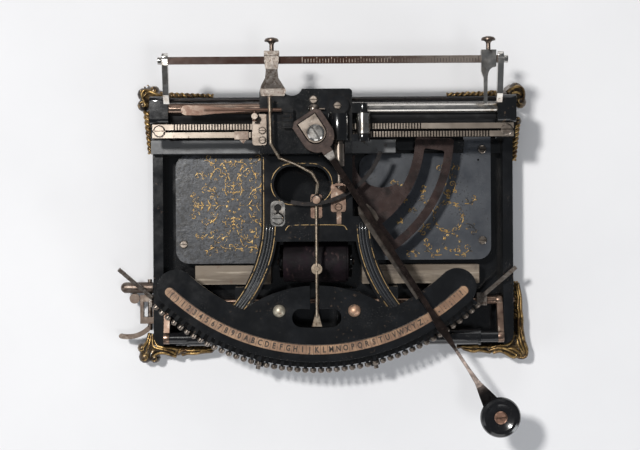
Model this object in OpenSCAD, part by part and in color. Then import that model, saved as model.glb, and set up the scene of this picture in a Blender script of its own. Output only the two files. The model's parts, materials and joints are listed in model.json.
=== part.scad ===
// Index typewriter: a pointer lever swings over a curved index, drops into a comb
// behind the chosen letter, and carries a type sector round with it.
// The frame stands on +Z, the operator sits at -Y, and the origin is at the middle
// of the four foot screws, on the surface that the machine stands on.

/* [Base] */
// Width of the base casting
base_w = 323; // [318:1:330]
// Depth of the base casting
base_d = 222.6; // [218:1:228]
// Height of the side walls above the table
base_top = 38; // [36:0.5:40]
// Height of the lower front wall above the table
front_wall_top = 26; // [20:1:28]
// Gap between the table and the underside of the base
base_clear = 8; // [5:1:12]
// Thickness of the side and rear walls
wall_t = 9; // [7:0.5:9]
// Thickness of the front wall
front_wall_t = 5; // [4:0.5:6]
// Thickness of the floor of the base
floor_t = 4; // [3:0.5:5]
// Radius of the corners of the base
base_corner_r = 9; // [6:1:12]
// Height of the deck plates' underside above the table
deck_z = 30; // [28:0.5:31]
// Thickness of the deck plates
deck_t = 2; // [1.5:0.5:2.5]

/* [Feet] */
// Distance from the base corner out to each foot screw
foot_screw_out = 5.5; // [4:0.5:7]
// Radius of the holes for the board screws
foot_screw_r = 2; // [1.5:0.1:2.5]
// Radius of the largest boss of a foot
foot_boss_r = 7; // [6:0.5:8]
// Length of the scroll along each side of the base
foot_scroll_l = 52; // [40:1:60]
// Height of the feet
foot_h = 30; // [26:1:34]

/* [Index and comb] */
// Distance from the base centre to the lever spindle, to the left
spindle_left = 15; // [13:0.5:17]
// Distance from the base centre to the lever spindle, to the rear
spindle_rear = 74.4; // [73:0.2:76]
// Number of letters on the index
letters = 45; // [41:2:45]
// Angle between two letters
letter_angle = 1.93; // [1.9:0.01:1.95]
// Radius of the middle of the letter strip
strip_r = 187.3; // [186:0.5:188]
// Width of the letter strip
strip_w = 7.8; // [6:0.1:9]
// Inner radius of the index plate
index_r_in = 164.6; // [162:0.2:166]
// Outer radius of the index plate
index_r_out = 198; // [197:0.5:199]
// Height of the index plate's underside
index_z = 66; // [65:0.5:67]
// Thickness of the index plate
index_t = 4; // [3:0.5:4]
// Radius of the comb at the tips of its teeth
comb_r = 204.5; // [203:0.5:206]
// Height of the comb teeth
comb_h = 8; // [6:0.5:9]
// Share of the pitch that a comb tooth takes
tooth_share = 0.4; // [0.3:0.02:0.5]
// Radius of the beads on the comb teeth
bead_r = 2.75; // [2:0.05:2.9]

/* [Lyre and tower] */
// Thickness of the lyre casting
lyre_t = 5; // [4:0.5:5]
// Distance from the spindle to the outside of the lyre
lyre_half_w = 48; // [46:0.5:50]
// Width of a leg of the lyre where it leaves the crossbar
leg_w = 14.5; // [12:0.5:16]
// Height of the top of the tower
tower_top = 94; // [93:0.5:95]
// Thickness of the tower's top plate
tower_plate_t = 5; // [4:0.5:5.5]
// Reach of the tower's top plate behind the spindle
tower_reach = 39; // [37:0.5:41]
// Thickness of the tower's two pillars
pillar_t = 6; // [5:0.5:6]

/* [Carriage] */
// Length of the racks
rack_l = 312; // [306:1:316]
// Width of a rack
rack_w = 4.8; // [4.4:0.1:5]
// Height of a rack
rack_h = 6; // [5:0.5:7]
// Height of the top of the racks
rack_top = 86; // [85.5:0.1:86.3]
// Pitch of the rack teeth, one letter
rack_pitch = 2.5; // [2.2:0.1:2.8]
// Number of rack teeth
rack_teeth = 86; // [60:2:86]
// Radius of the platen
platen_r = 9; // [8:0.25:9.25]
// Height of the platen's axis
platen_z = 70; // [69.5:0.1:70.5]
// Radius of the pressing tube
tube_r = 4.75; // [4:0.25:4.75]
// Width of a carriage end block
end_w = 16; // [12:0.5:18]
// Distance from the base centre to the ruler, to the rear
ruler_rear = 133.7; // [132:0.5:135]
// Width of the ruler
ruler_w = 6.3; // [5.5:0.1:6.5]
// Height of the ruler's top face
ruler_top = 104.6; // [104:0.1:105]

/* [Pointer lever] */
// Letters between the middle of the index and the lever at rest
rest_letter = 17; // [15:1:19]
// Distance from the spindle to the knob
knob_reach = 291; // [284:1:296]
// Radius of the knob
knob_r = 17.5; // [15:0.5:19]
// Width of the lever arm near the yoke
arm_w = 5.5; // [4.5:0.1:6.5]
// Thickness of the lever arm
arm_t = 3; // [2.5:0.1:3.2]
// Width of the yoke
yoke_w = 28.8; // [28:0.2:30]
// Thickness of the yoke
yoke_t = 5; // [4:0.25:5]

/* [Type sector] */
// Outer radius of the type sector
sector_r_out = 122; // [118:0.5:123]
// Inner radius of the type sector
sector_r_in = 88; // [86:0.5:90]
// Thickness of the type sector
sector_t = 3; // [2:0.5:3]
// Height of the type sector's underside
sector_z = 55; // [54.5:0.1:55.5]

/* [Front levers] */
// Radius of the cross shaft
cross_shaft_r = 2; // [1.6:0.1:2]
// Radius of the space bar
space_bar_r = 7; // [6:0.25:7.5]
// Half of the length of the space bar's thick part
space_bar_half = 129; // [120:1:134]

/* [Hidden] */
$fn = 64;

black = [0.09, 0.09, 0.1];
nickel = [0.72, 0.69, 0.65];
brown_steel = [0.33, 0.24, 0.21];
brass = [0.72, 0.58, 0.33];

run = 0.05;       // radial running clearance of a shaft in its bore
gap = 0.3;        // clearance between pieces that pass each other
spindle = [-spindle_left, spindle_rear];
floor_z = base_clear + floor_t;
deck_top = deck_z + deck_t;
index_top = index_z + index_t;

// Rear rail and the cross ledge of the base below it
rail_front = 60.5;
rail_d = 11.5;
rail_top = 50;

// Lyre
lyre_z = index_z - lyre_t;
lyre_right = 32;            // the right edge of the plate, from the spindle
lyre_cross_front = -18;     // front edge of the crossbar
leg_bend = [0, -42];        // where the legs start to bend out, and their guide point
arch_r = lyre_half_w - leg_w;
leg_flare = 32;             // how far a leg bends out on its way to the index plate
leg_end = -82;
lyre_foot = [66.5, -63];    // centre of a foot pillar, from the spindle line
lyre_foot_w = 10;

// Tower
pillar_y0 = 58;
pillar_y1 = 65.5;
tower_left = -48;           // left and right edges of the tower, from the spindle
tower_side = 31.5;
under_tower = tower_top - tower_plate_t;
boss_x = 20;                // plunger boss, from the spindle
boss_z = tower_top - 0.5;
boss_r = 9;
plunger_r = [4.8, 3.5];      // the tube in front of the boss and the part inside it
post_top = tower_top + 5.5;  // the round post behind the boss
boss_y = [68.7, 91.7];
tower_screws = [[-1.7, 29.5], [18.7, 23.8]];    // from the spindle: on the plate, on the post
tower_screw_r = 1.4;
tower_screw_l = 3;

// Carriage
rear_rack_y = 79.1;
front_rack_y = 72.2;
rack_z = rack_top - rack_h;
platen_y = 93.5;
tube_y = platen_y + 4;
tube_z = platen_z + sqrt(pow(platen_r + tube_r + gap, 2) - pow(tube_y - platen_y, 2));
end_in = rack_l / 2 + 2 - end_w;
end_top = 90;
end_bottom = 60;
end_y = [83.9 + 0.6, 108];
axle_r = 3;
tube_pin_r = 2;
pin_depth = 8;
tie_rod_r = 1.5;
tie_rod_at = [105, 84];
ruler_t = 2.4;
ruler_z = ruler_top - ruler_t;

// Roller that holds the racks down
roller_r = 6.2;
roller_x = 25.8;
roller_y = [74.6, 92];
roller_axle_r = 2;
roller_z = rack_top + gap + roller_r;
rear_arm_r = roller_z - tube_z - tube_r - gap;   // the rear arm clears the pressing tube

// Turret and lever, in the lever's own frame: x runs from the spindle to the knob
rest_turn = -90 + rest_letter * letter_angle;
spindle_r = 5;
block_l = [-14, 8.5];
block_w = 17;
hub_top = 111;
yoke_l = [-18, 20];
yoke_bend = 3;              // where the yoke starts to round off in front
yoke_z = 104.5;
yoke_mid_z = yoke_z + yoke_t / 2;
press_x = -11.7;            // the press pins, behind the spindle
press_pin_r = 1.6;
arm_drop = 0.154;           // how steeply the arm comes down from the yoke to the index
arm_z0 = yoke_mid_z + 0.1;  // height of the arm at the yoke's front edge
blade_l = [200, 204.8];
blade_t = 1.8;
blade_z = 64;
knob_z = 90;

// Type sector
sector_span = [-60, -1];
slot_span = [-53, -6.5];
swing_left = 9.65;          // how far the lever and the sector turn left from rest
pillar_pass_r = [norm([tower_side - pillar_t, pillar_y1 - spindle_rear]) - 2.5,
    norm([tower_side, pillar_y0 - spindle_rear]) + 1.5];
pillar_pass_turn = atan2(pillar_y0 - spindle_rear, tower_side - pillar_t) - swing_left - 1.5;
sector_rim = 8.5;
sector_pin_r = 4;
sector_hub_r = 11;
sector_hub_z = [53.5, 60];

// Ink drum
drum_at = [-36.5, 33];
drum_r = 18;
drum_collar_r = 19;
drum_x = [-44.7, 13.3];
drum_collar_x = [-31, 11.5];
drum_bracket_t = 3.5;

// Deck plates and wood blocks, measured from the walls
left_deck_x0 = -base_w / 2 + wall_t + 10.9;
right_deck_x1 = base_w / 2 - wall_t - 10;
deck_front = [-base_d / 2 + 73.4, -base_d / 2 + 75.9];
right_screw_x = right_deck_x1 - 7.6;
wood_x = [-base_w / 2 + wall_t + 28.2, base_w / 2 - wall_t - 21];
wood_y = -base_d / 2 + 54.6;
wood_d = 17;
wood_h = 22;
lug_x = [56.5, right_deck_x1 - 25.1];

// Selector
selector_at = [spindle[0] + 0.2, 18.3];
selector_z = 69.5;
selector_rod_r = 1.45;
eye_y = -42;
tail_y = [-84, -92.4];
cross_arm_at = [-22, 82];
cross_arm_r = 67.2;
cross_arm_span = [-103, -19];
index_slot = [-20.9, -12.6];
window_mid_r = 159.75;      // the kidney-shaped window of the index plate
window_w = 16.5;
window_r = [window_mid_r - window_w / 2, window_mid_r + window_w / 2];

rear_rod = [[selector_at[0], selector_at[1] + 3.75, selector_z + 0.4], [-13.4, 33, 74], [-18.7, 41.9, 82],
    [-32.4, 49, 92], [-45.9, 54, 102], [-53.1, 66, 108], [-54, 104.5, 108]];

// Front
cross_at = [-base_d / 2 + 39.3, 32];
space_bar_at = [-base_d / 2 + 7.3, 42];
strap_x = [base_w / 2 - wall_t - 5.7, base_w / 2 - wall_t - 0.5];
post_at = [32.9, -78.6];
sleeve_r = 3.8;             // the sleeve on the cross shaft beside each strap
end_ring_w = 2;
bar_end_r = 5;              // the thinner ends of the space bar

// Rocking finger lever on the left wall
rock_x = -base_w / 2 - 5;
rock_z = 22.6;
rock_shaft_r = 2;
ear_y = [-base_d / 2 + 19.3, -base_d / 2 + 39.3];
ear_t = 6;
ear_h = 4;
prong_x = rock_x - 8.5;
rock_shaft_y = [ear_y[0] - 6, ear_y[1] + 20];
key_r = 5;
key_y = ear_y[1] + ear_t + key_r + 1.5;

// Feet
curl_r = 3.9;
short_scroll = base_d / 2 + rock_shaft_y[0] + 4 - curl_r - 0.5;
foot_screw_x = base_w / 2 + foot_screw_out;
foot_screw_y = base_d / 2 + foot_screw_out;
deck_bosses = [[left_deck_x0 + 7, deck_front[0] + 17.5], [right_screw_x, deck_front[1] + 17.2],
    [-60, deck_front[0] + 7.9], [32, deck_front[1] + 9.4]];

// ---- shapes that repeat ----

function on_circle(r, a) = r * [cos(a), sin(a)];

function arc(r, a0, a1, n) = [for (i = [0:n]) on_circle(r, a0 + (a1 - a0) * i / n)];

// Quadratic curve from a to c that leaves a towards b and reaches c from b
function curve(a, b, c, n) = [for (i = [0:n]) let (t = i / n)
    pow(1 - t, 2) * a + 2 * t * (1 - t) * b + t * t * c];

module sector_2d(r_in, r_out, a0, a1) {
    intersection() {
        difference() {
            circle(r_out, $fn = 180);
            circle(r_in, $fn = 180);
        }
        polygon(concat([[0, 0]], arc(r_out * 1.5, a0, a1, 8)));
    }
}

// An arc-shaped slot or plate with round ends
module round_arc_2d(r_in, r_out, a0, a1) {
    mid = (r_in + r_out) / 2;
    sector_2d(r_in, r_out, a0, a1);
    for (a = [a0, a1]) {
        translate(mid * [cos(a), sin(a)])
            circle((r_out - r_in) / 2);
    }
}

// An arc-shaped slot or plate whose end at a1 is square, with corners of radius r
module square_arc_2d(r_in, r_out, a0, a1, r) {
    last = a1 - asin(r / r_out);
    corner = [for (i = [1:4]) r * [cos(i * 22.5), sin(i * 22.5)]];
    intersection() {
        difference() {
            circle(r_out, $fn = 180);
            circle(r_in, $fn = 180);
        }
        rotate(last)
            // the edges cross the two circles a little before the corners start
            polygon(concat([[0, 0]], arc(r_out * 1.5, a0 - last, -5, 8),
                [[r_out + 0.2 * r, -r]], [for (c = corner) [r_out - r + c[0], c[1]]],
                [for (i = [3:-1:0]) [r_in + r - corner[i][0], corner[i][1]]], [[r_in - 0.2 * r, -r]]));
    }
}

module rounded_2d(x0, y0, x1, y1, r) {
    for (x = [x0 + r, x1 - r], y = [y0 + r, y1 - r]) {
        translate([x, y])
            circle(r);
    }
    translate([x0 + r, y0])
        square([x1 - x0 - 2 * r, y1 - y0]);
    translate([x0, y0 + r])
        square([x1 - x0, y1 - y0 - 2 * r]);
}

module slab(z0, z1) {
    translate([0, 0, z0])
        linear_extrude(z1 - z0)
            children();
}

module bar_x(x0, x1, y, z, r) {
    translate([x0, y, z])
        rotate([0, 90, 0])
            cylinder(r = r, h = x1 - x0);
}

module bar_y(x, y0, y1, z, r) {
    translate([x, y1, z])
        rotate([90, 0, 0])
            cylinder(r = r, h = y1 - y0);
}

// A slotted screw head with its shank below it
module screw(r, h, shank_r, shank_l) {
    difference() {
        union() {
            cylinder(r = r, h = h * 0.6);
            translate([0, 0, h * 0.6])
                cylinder(r1 = r, r2 = r * 0.8, h = h * 0.4);
        }
        translate([-r, -r * 0.1, h * 0.55])
            cube([2 * r, r * 0.2, h]);
    }
    translate([0, 0, -shank_l])
        cylinder(r = shank_r, h = shank_l);
}

module at_spindle() {
    translate([spindle[0], spindle[1], 0])
        children();
}

module lever_frame() {
    at_spindle()
        rotate([0, 0, rest_turn])
            children();
}

// A straight round rod between two points, with round ends
module rod(a, b, r) {
    hull()
        for (p = [a, b]) {
            translate(p)
                sphere(r, $fn = 16);
        }
}

// ---- base ----

module base_outline_2d() {
    rounded_2d(-base_w / 2, -base_d / 2, base_w / 2, base_d / 2, base_corner_r);
}

module base_casting() {
    inner_r = base_corner_r - 1;
    color(black)
        difference() {
            union() {
                difference() {
                    slab(base_clear, base_top)
                        base_outline_2d();
                    slab(floor_z, base_top + 1)
                        rounded_2d(-base_w / 2 + wall_t, -base_d / 2 + front_wall_t,
                            base_w / 2 - wall_t, base_d / 2 - wall_t, inner_r);
                    translate([-base_w / 2 + wall_t, -base_d / 2 - 1, front_wall_top])
                        cube([base_w - 2 * wall_t, front_wall_t + 12, base_top]);
                }
                // the cross ledge below the rear rail
                translate([-base_w / 2 + 1, rail_front, base_clear])
                    cube([base_w - 2, rail_d + 2, deck_z - base_clear]);
                // the raised lug to the right of the rail
                slab(deck_z - 1, deck_z + 15)
                    rounded_2d(lug_x[0], rail_front + 2.5, lug_x[1], rail_front + 13.5, 4);
                for (b = deck_bosses) {
                    translate([b[0], b[1], base_clear])
                        cylinder(r = 6, h = deck_z - base_clear);
                }
            }
            // bearings of the cross shaft
            bar_x(-base_w, base_w, cross_at[0], cross_at[1], cross_shaft_r + run);
        }
}

// One foot with its corner at the origin, growing outwards along +X and +Y;
// the scroll along the side is side_l long and has knots swellings
module foot_lobes(side_l, knots) {
    translate([4, 4, 0])
        cylinder(r1 = foot_boss_r + 4, r2 = foot_boss_r, h = foot_h * 0.55);
    translate([4, 4, foot_h * 0.5])
        cylinder(r = foot_boss_r + 0.5, h = foot_h * 0.3);
    translate([9.5, 6, foot_h * 0.55])
        sphere(foot_boss_r);
    translate([6, 9.5, foot_h * 0.55])
        sphere(foot_boss_r);
    // a tapering scroll along each side, swelling like a rope, with a curl at its end
    for (turn = [0, 1]) {
        l = turn == 0 ? side_l : foot_scroll_l;
        mirror([turn, -turn, 0]) {
            translate([3.2, 4, foot_h * 0.6])
                rotate([90 - 3, 0, 0])
                    cylinder(r1 = 5.6, r2 = 2.4, h = l);
            for (i = [1:(turn == 0 ? knots : 4)]) {
                translate([3.4 - i * 0.2, 3 - i * (l - 4) / 4.4, foot_h * 0.6 + i * 0.5])
                    sphere(6.8 - i * 0.78);
            }
            translate([-2, 4 - l, foot_h * 0.6 + 2.7])
                rotate([0, 90, 0])
                    cylinder(r = curl_r, h = 6.2);
        }
    }
}

module corner_feet() {
    color([0.25, 0.2, 0.1])
        for (sx = [0, 1], sy = [0, 1]) {
            difference() {
                mirror([sx, 0, 0])
                    mirror([0, sy, 0])
                        translate([base_w / 2, base_d / 2, 0])
                            // the front left foot makes room for the side lever
                            foot_lobes(sx + sy == 2 ? short_scroll : foot_scroll_l,
                                sx + sy == 2 ? 1 : 4);
                slab(base_clear, base_top + 10)
                    base_outline_2d();
                slab(-20, 0)
                    square(base_w * 2, center = true);
                translate([(1 - 2 * sx) * foot_screw_x, (1 - 2 * sy) * foot_screw_y, -1])
                    cylinder(r = foot_screw_r, h = foot_h + 10);
            }
        }
}

module left_deck_plate() {
    color([0.24, 0.26, 0.29])
        slab(deck_z, deck_top)
            difference() {
                rounded_2d(left_deck_x0, deck_front[0], spindle[0] - 39, rail_front, 12);
                translate([deck_bosses[0][0], deck_bosses[0][1]])
                    circle(1.6);
            }
}

module right_deck_plate() {
    color([0.24, 0.26, 0.29])
        slab(deck_z, deck_top)
            difference() {
                union() {
                    rounded_2d(spindle[0] + 39, deck_front[1], right_deck_x1, rail_front, 12);
                    translate([lug_x[1] + 0.6, 30])
                        square([right_deck_x1 - lug_x[1] - 0.6, 45]);
                }
                translate([deck_bosses[1][0], deck_bosses[1][1]])
                    circle(1.6);
                translate([right_screw_x, rail_front + 3.2])
                    circle(1.6);
                translate([right_screw_x - 3.6, rail_front - 6.2])
                    circle(0.9);
            }
}

module fixing_screws() {
    color(nickel) {
        for (p = [[deck_bosses[0][0], deck_bosses[0][1]], [deck_bosses[1][0], deck_bosses[1][1]],
                [right_screw_x, rail_front + 3.2]]) {
            translate([p[0], p[1], deck_top])
                screw(3.6, 1.2, 1.6, deck_t);
        }
        for (i = [0, 1]) {
            translate([tower_screws[i][0], tower_screws[i][1], i == 0 ? tower_top : post_top])
                at_spindle()
                    screw(3.6 - 0.4 * i, 1.8, tower_screw_r, tower_screw_l);
        }
        // the comb's studs
        for (s = [-1, 1]) {
            at_spindle()
                rotate([0, 0, -90 + s * 14.4])
                    translate([comb_r + 4.5, 0, index_z - 14])
                        rotate([0, 90, 0])
                            cylinder(r = 2, h = 3);
        }
    }
}

module rear_rail() {
    color([0.2, 0.2, 0.21])
        difference() {
            union() {
                translate([-base_w / 2, rail_front, base_top])
                    cube([wall_t, rail_d, rail_top - base_top]);
                translate([-base_w / 2 + wall_t, rail_front, deck_z])
                    cube([base_w / 2 - wall_t + 55.9, rail_d, rail_top - deck_z]);
                translate([spindle[0], spindle[1], deck_z])
                    cylinder(r = sector_hub_r - 1, h = sector_hub_z[0] - gap - deck_z);
            }
            translate([spindle[0], spindle[1], rail_top - 12])
                cylinder(r = sector_pin_r, h = 20);
        }
}

module sector_pin() {
    color(nickel) {
        translate([spindle[0], spindle[1], rail_top - 12])
            cylinder(r = sector_pin_r, h = sector_hub_z[1] + 0.7 - rail_top + 12);
    }
}

module wood_blocks() {
    color([0.72, 0.6, 0.45])
        for (x = [[wood_x[0], spindle[0] - 41], [spindle[0] + 41, wood_x[1]]]) {
            translate([x[0], wood_y, floor_z])
                cube([x[1] - x[0], wood_d, wood_h]);
        }
}

// ---- lyre, tower and their fittings ----

module leg_2d() {
    outer = curve([lyre_half_w, leg_bend[0]], [lyre_half_w, leg_bend[1]],
        [lyre_half_w + leg_flare, leg_end], 10);
    inner = curve([lyre_half_w - leg_w, leg_bend[0]], [lyre_half_w - leg_w, leg_bend[1] - 3],
        [lyre_half_w - leg_w + leg_flare, leg_end - 3], 10);
    polygon(concat(outer, [for (i = [10:-1:0]) inner[i]]));
}

module lyre_2d() {
    difference() {
        union() {
            translate([spindle[0] - lyre_half_w, lyre_cross_front])
                square([lyre_half_w + lyre_right, pillar_y0 - lyre_cross_front]);
            translate([spindle[0] - lyre_half_w, lyre_cross_front])
                square([2 * lyre_half_w, -lyre_cross_front + 4]);
            for (s = [0, 1]) {
                translate([spindle[0], 0])
                    mirror([s, 0])
                        leg_2d();
            }
        }
        // the oval window
        rounded_2d(spindle[0] - 37, 16.6, spindle[0] + 12, 48.2, 15.7);
        // the arch below the crossbar
        translate([spindle[0], lyre_cross_front - arch_r])
            circle(arch_r, $fn = 90);
        translate([spindle[0] - arch_r, -130])
            square([2 * arch_r, 130 + lyre_cross_front - arch_r]);
    }
}

module lyre_frame() {
    color(black)
        union() {
            slab(lyre_z, index_z)
                lyre_2d();
            for (s = [-1, 1]) {
                translate([spindle[0] + s * lyre_foot[0], lyre_foot[1], (floor_z + index_z) / 2])
                    cube([lyre_foot_w, lyre_foot_w, index_z - floor_z], center = true);
            }
        }
}

module tower_side_2d() {
    // a C that leaves the racks' way open, drawn in Y and Z
    polygon([[pillar_y0, rail_top], [pillar_y1, rail_top], [pillar_y1, rack_z - 10],
        [84, rack_z - 10], [84, rack_z - gap], [pillar_y1, rack_z - gap], [pillar_y1, under_tower],
        [pillar_y1 + 10, under_tower + 1], [pillar_y1 + 10, tower_top], [pillar_y0, tower_top]]);
}

module tower_frame() {
    x0 = spindle[0] + tower_left;
    x1 = spindle[0] + tower_side;
    rear = spindle[1] + tower_reach;
    color(black)
        difference() {
            union() {
                slab(under_tower, tower_top)
                    difference() {
                        rounded_2d(x0, pillar_y0, x1, rear, 3);
                        translate([x0 + 28, rear + 3])
                            circle(9);
                        // the plunger's way
                        translate([spindle[0] + boss_x - plunger_r[0] - 0.4, pillar_y0 - 1])
                            square([2 * plunger_r[0] + 0.8, boss_y[0] + 0.8 - pillar_y0]);
                    }
                for (x = [x0, x1 - pillar_t]) {
                    translate([x, 0, 0])
                        rotate([90, 0, 90])
                            linear_extrude(pillar_t)
                                tower_side_2d();
                }
                intersection() {
                    bar_y(spindle[0] + boss_x, boss_y[0], boss_y[1], boss_z, boss_r);
                    slab(under_tower, tower_top + 20)
                        square(400, center = true);
                }
                translate([spindle[0] + boss_x, boss_y[1] + 7, under_tower])
                    cylinder(r = 8.5, h = post_top - under_tower);
                // ribbed block beside the paddle lever
                translate([spindle[0] - 27.4, 79.2, tower_top - 1])
                    cube([8.5, 16.2, 8]);
                for (i = [0:3]) {
                    translate([spindle[0] - 27.4, 80.6 + i * 4, tower_top + 6.5])
                        cube([8.5, 2, 1.8]);
                }
                // arms of the guide roller
                for (y = [[68.2, roller_y[0] - gap, roller_r - 0.6],
                        [roller_y[1] + gap, 100.7, rear_arm_r]]) {
                    bar_y(roller_x, y[0], y[1], roller_z, y[2]);
                    translate([x1 - 1, y[0], roller_z - 3.2])
                        cube([roller_x - x1 + 1, y[1] - y[0], 6.4]);
                }
            }
            for (i = [0, 1]) {
                translate([spindle[0] + tower_screws[i][0], spindle[1] + tower_screws[i][1],
                    (i == 0 ? tower_top : post_top) - tower_screw_l])
                    cylinder(r = tower_screw_r, h = 20);
            }
            translate([spindle[0], spindle[1], under_tower - 1])
                cylinder(r = spindle_r + run, h = tower_plate_t + 2);
            bar_y(spindle[0] + boss_x, boss_y[0] - 1, boss_y[1] - 4, boss_z, plunger_r[1] + run);
            bar_y(roller_x, 60, 110, roller_z, roller_axle_r);
        }
}

module keyhole_plate() {
    color(nickel) {
        difference() {
            slab(index_z, index_z + 1.6)
                rounded_2d(-54.9, -4.5, -42.3, 17.7, 4);
            translate([-48.6, 11.8, index_z - 1])
                cylinder(r = 3.2, h = 4);
            translate([-50, 3, index_z - 1])
                cube([2.8, 8, 4]);
            translate([-48.6, 2.1, index_z - 1])
                cylinder(r = 2, h = 4);
        }
        translate([-48.6, 2.1, index_z + 1.6])
            screw(5.2, 2.6, 2, 1.6);
    }
}

module index_plate_2d() {
    difference() {
        union() {
            rotate([0, 0, -90])
                round_arc_2d(index_r_in, index_r_out, -42.8, 42.8);
            // the hump that carries the window
            intersection() {
                translate([0, -241])
                    circle(110, $fn = 180);
                rotate([0, 0, -90])
                    sector_2d(100, index_r_out, -30, 30);
            }
        }
        rotate([0, 0, -90])
            round_arc_2d(window_r[0], window_r[1], -4.8, 4.8);
        translate([index_slot[0] - spindle[0], -window_r[0] - 6])
            square([index_slot[1] - index_slot[0], 60]);
        for (s = [-1, 1]) {
            translate([s * post_at[0], post_at[1] - spindle[1]])
                circle(2.5);
        }
    }
}

module index_plate() {
    color(black)
        at_spindle()
            slab(index_z, index_top)
                index_plate_2d();
}

module index_strip() {
    half = letter_angle * letters / 2;
    color([0.75, 0.6, 0.45])
        at_spindle()
            slab(index_top, index_top + 0.5)
                rotate([0, 0, -90])
                    round_arc_2d(strip_r - strip_w / 2, strip_r + strip_w / 2, -half, half);
}

module index_posts() {
    color(black)
        for (s = [-1, 1]) {
            translate([spindle[0] + s * post_at[0], post_at[1], floor_z]) {
                cylinder(r = 4, h = index_z - floor_z);
                cylinder(r = 2.5, h = index_top - floor_z);
                cylinder(r = 6, h = 6);
            }
        }
}

module dome_nuts() {
    color([0.85, 0.72, 0.6])
        for (s = [-1, 1]) {
            translate([spindle[0] + s * post_at[0], post_at[1], index_top])
                rotate_extrude()
                    intersection() {
                        square([5.4, 5]);
                        translate([0, -1])
                            circle(5.9);
                    }
        }
}

module comb_teeth_2d() {
    tooth = letter_angle * tooth_share / 2;
    half = letter_angle * letters / 2;
    for (i = [0:letters]) {
        a = -half + i * letter_angle;
        sector_2d(index_r_out - 3, comb_r, a - tooth, a + tooth);
    }
}

module comb() {
    half = letter_angle * letters / 2 + 0.4;
    color(black)
        at_spindle()
            rotate([0, 0, -90]) {
                slab(index_z - 12, index_z)
                    sector_2d(index_r_out - 11, index_r_out - 2, -half, half);
                slab(index_z - 12, index_z - 12 + comb_h)
                    comb_teeth_2d();
                // the floor below the teeth
                slab(index_z - 15, index_z - 12)
                    sector_2d(index_r_out - 11, comb_r - 0.4, -half, half);
                for (s = [-1, 1]) {
                    rotate([0, 0, s * 14.4])
                        translate([index_r_out - 10, -4, index_z - 16])
                            cube([comb_r + 4.5 - index_r_out + 10, 8, 4.8]);
                }
            }
}

module comb_beads() {
    half = letter_angle * letters / 2;
    color(nickel)
        at_spindle()
            for (i = [0:letters]) {
                rotate([0, 0, -90 - half + i * letter_angle])
                    translate([comb_r, 0, index_z - 12 + comb_h / 2])
                        rotate([0, 90, 0])
                            rotate_extrude($fn = 20)
                                intersection() {
                                    square([bead_r, 4.4]);
                                    translate([0, 1.4])
                                        circle(bead_r + 0.25, $fn = 20);
                                }
            }
}

// ---- ink drum ----

module ink_drum() {
    color([0.3, 0.16, 0.22])
        translate([drum_x[0], drum_at[0], drum_at[1]])
            rotate([0, 90, 0])
                rotate_extrude()
                    difference() {
                        union() {
                            square([drum_r, drum_x[1] - drum_x[0]]);
                            translate([0, drum_collar_x[0] - drum_x[0]])
                                square([drum_collar_r, drum_collar_x[1] - drum_collar_x[0]]);
                        }
                        square([3 + run, 100]);
                    }
}

module drum_shaft() {
    color(nickel)
        bar_x(drum_x[0] - drum_bracket_t - 2, drum_x[1] + drum_bracket_t + 2, drum_at[0], drum_at[1], 3);
}

module drum_brackets() {
    color(black)
        for (x = [drum_x[0] - gap - drum_bracket_t, drum_x[1] + gap]) {
            translate([x, 0, 0])
                rotate([90, 0, 90])
                    linear_extrude(drum_bracket_t)
                        difference() {
                            union() {
                                translate(drum_at)
                                    circle(9);
                                polygon([[drum_at[0] - 15, floor_z], [drum_at[0] + 15, floor_z],
                                    [drum_at[0] + 8.5, drum_at[1]], [drum_at[0] - 8.5, drum_at[1]]]);
                            }
                            translate(drum_at)
                                circle(3);
                        }
        }
}

// ---- small mechanism on the tower and the lyre ----

module left_bracket() {
    color(nickel) {
        slab(tower_top, tower_top + 2)
            rounded_2d(-69.1, 65, -57.1, 92.3, 2);
        difference() {
            translate([-66.8, 89.2, tower_top + 2])
                cylinder(r = 2.6, h = 10);
            bar_y(-66.8, 80, 100, paddle_z, 1.2 + run);
        }
        for (y = [69.3, 77.5]) {
            translate([-60.6, y, tower_top + 2])
                screw(3, 1.8, 1.2, 0.1);
        }
    }
}

paddle_z = tower_top + 8.9;
paddle_y = 94.7;
paddle_tip = -129.4;
pad_r = 4.3;

module paddle_lever() {
    color(nickel) {
        bar_x(-110, -44, paddle_y, paddle_z, 1.6);
        // the pivot pin that runs forward through the post, and its head
        bar_y(-66.8, 85, paddle_y, paddle_z, 1.2);
        bar_y(-66.8, 85, 86.2, paddle_z, 2.2);
        // the spatula, which tapers into the rod
        translate([paddle_tip + pad_r, paddle_y, paddle_z - 1.2])
            slab(0, 2.4)
                union() {
                    circle(pad_r);
                    polygon([[0, -pad_r], [12, -pad_r], [24, -3.1], [36, -2.3], [50, -1.6],
                        [50, 1.6], [36, 1.9], [24, 2.6], [12, 3.8], [0, pad_r]]);
                }
    }
}

plunger_y = [30, 46.7, 65.8];

module plunger() {
    color(nickel) {
        bar_y(spindle[0] + boss_x, plunger_y[0] - 2, plunger_y[1], boss_z, 1.6);
        bar_y(spindle[0] + boss_x, plunger_y[1], plunger_y[2], boss_z, plunger_r[0]);
        bar_y(spindle[0] + boss_x, plunger_y[2], boss_y[1] - 8, boss_z, plunger_r[1]);
    }
}

module plunger_bracket() {
    x = spindle[0] + boss_x;
    color(nickel)
        difference() {
            union() {
                slab(index_z, index_z + 2)
                    rounded_2d(x - 7, 7.8, x + 6, 32, 2);
                slab(index_z, index_z + 2)
                    translate([x - 2, -2.7])
                        square([4, 12]);
                translate([x - 3.3, 30, index_z])
                    cube([6.6, 2, boss_z + 3.4 - index_z]);
            }
            bar_y(x, 20, 40, boss_z, 1.6 + run);
        }
    color(brass)
        translate([x - 0.4, 12, index_z + 2])
            screw(3, 1.6, 1.2, 0.1);
}

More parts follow.
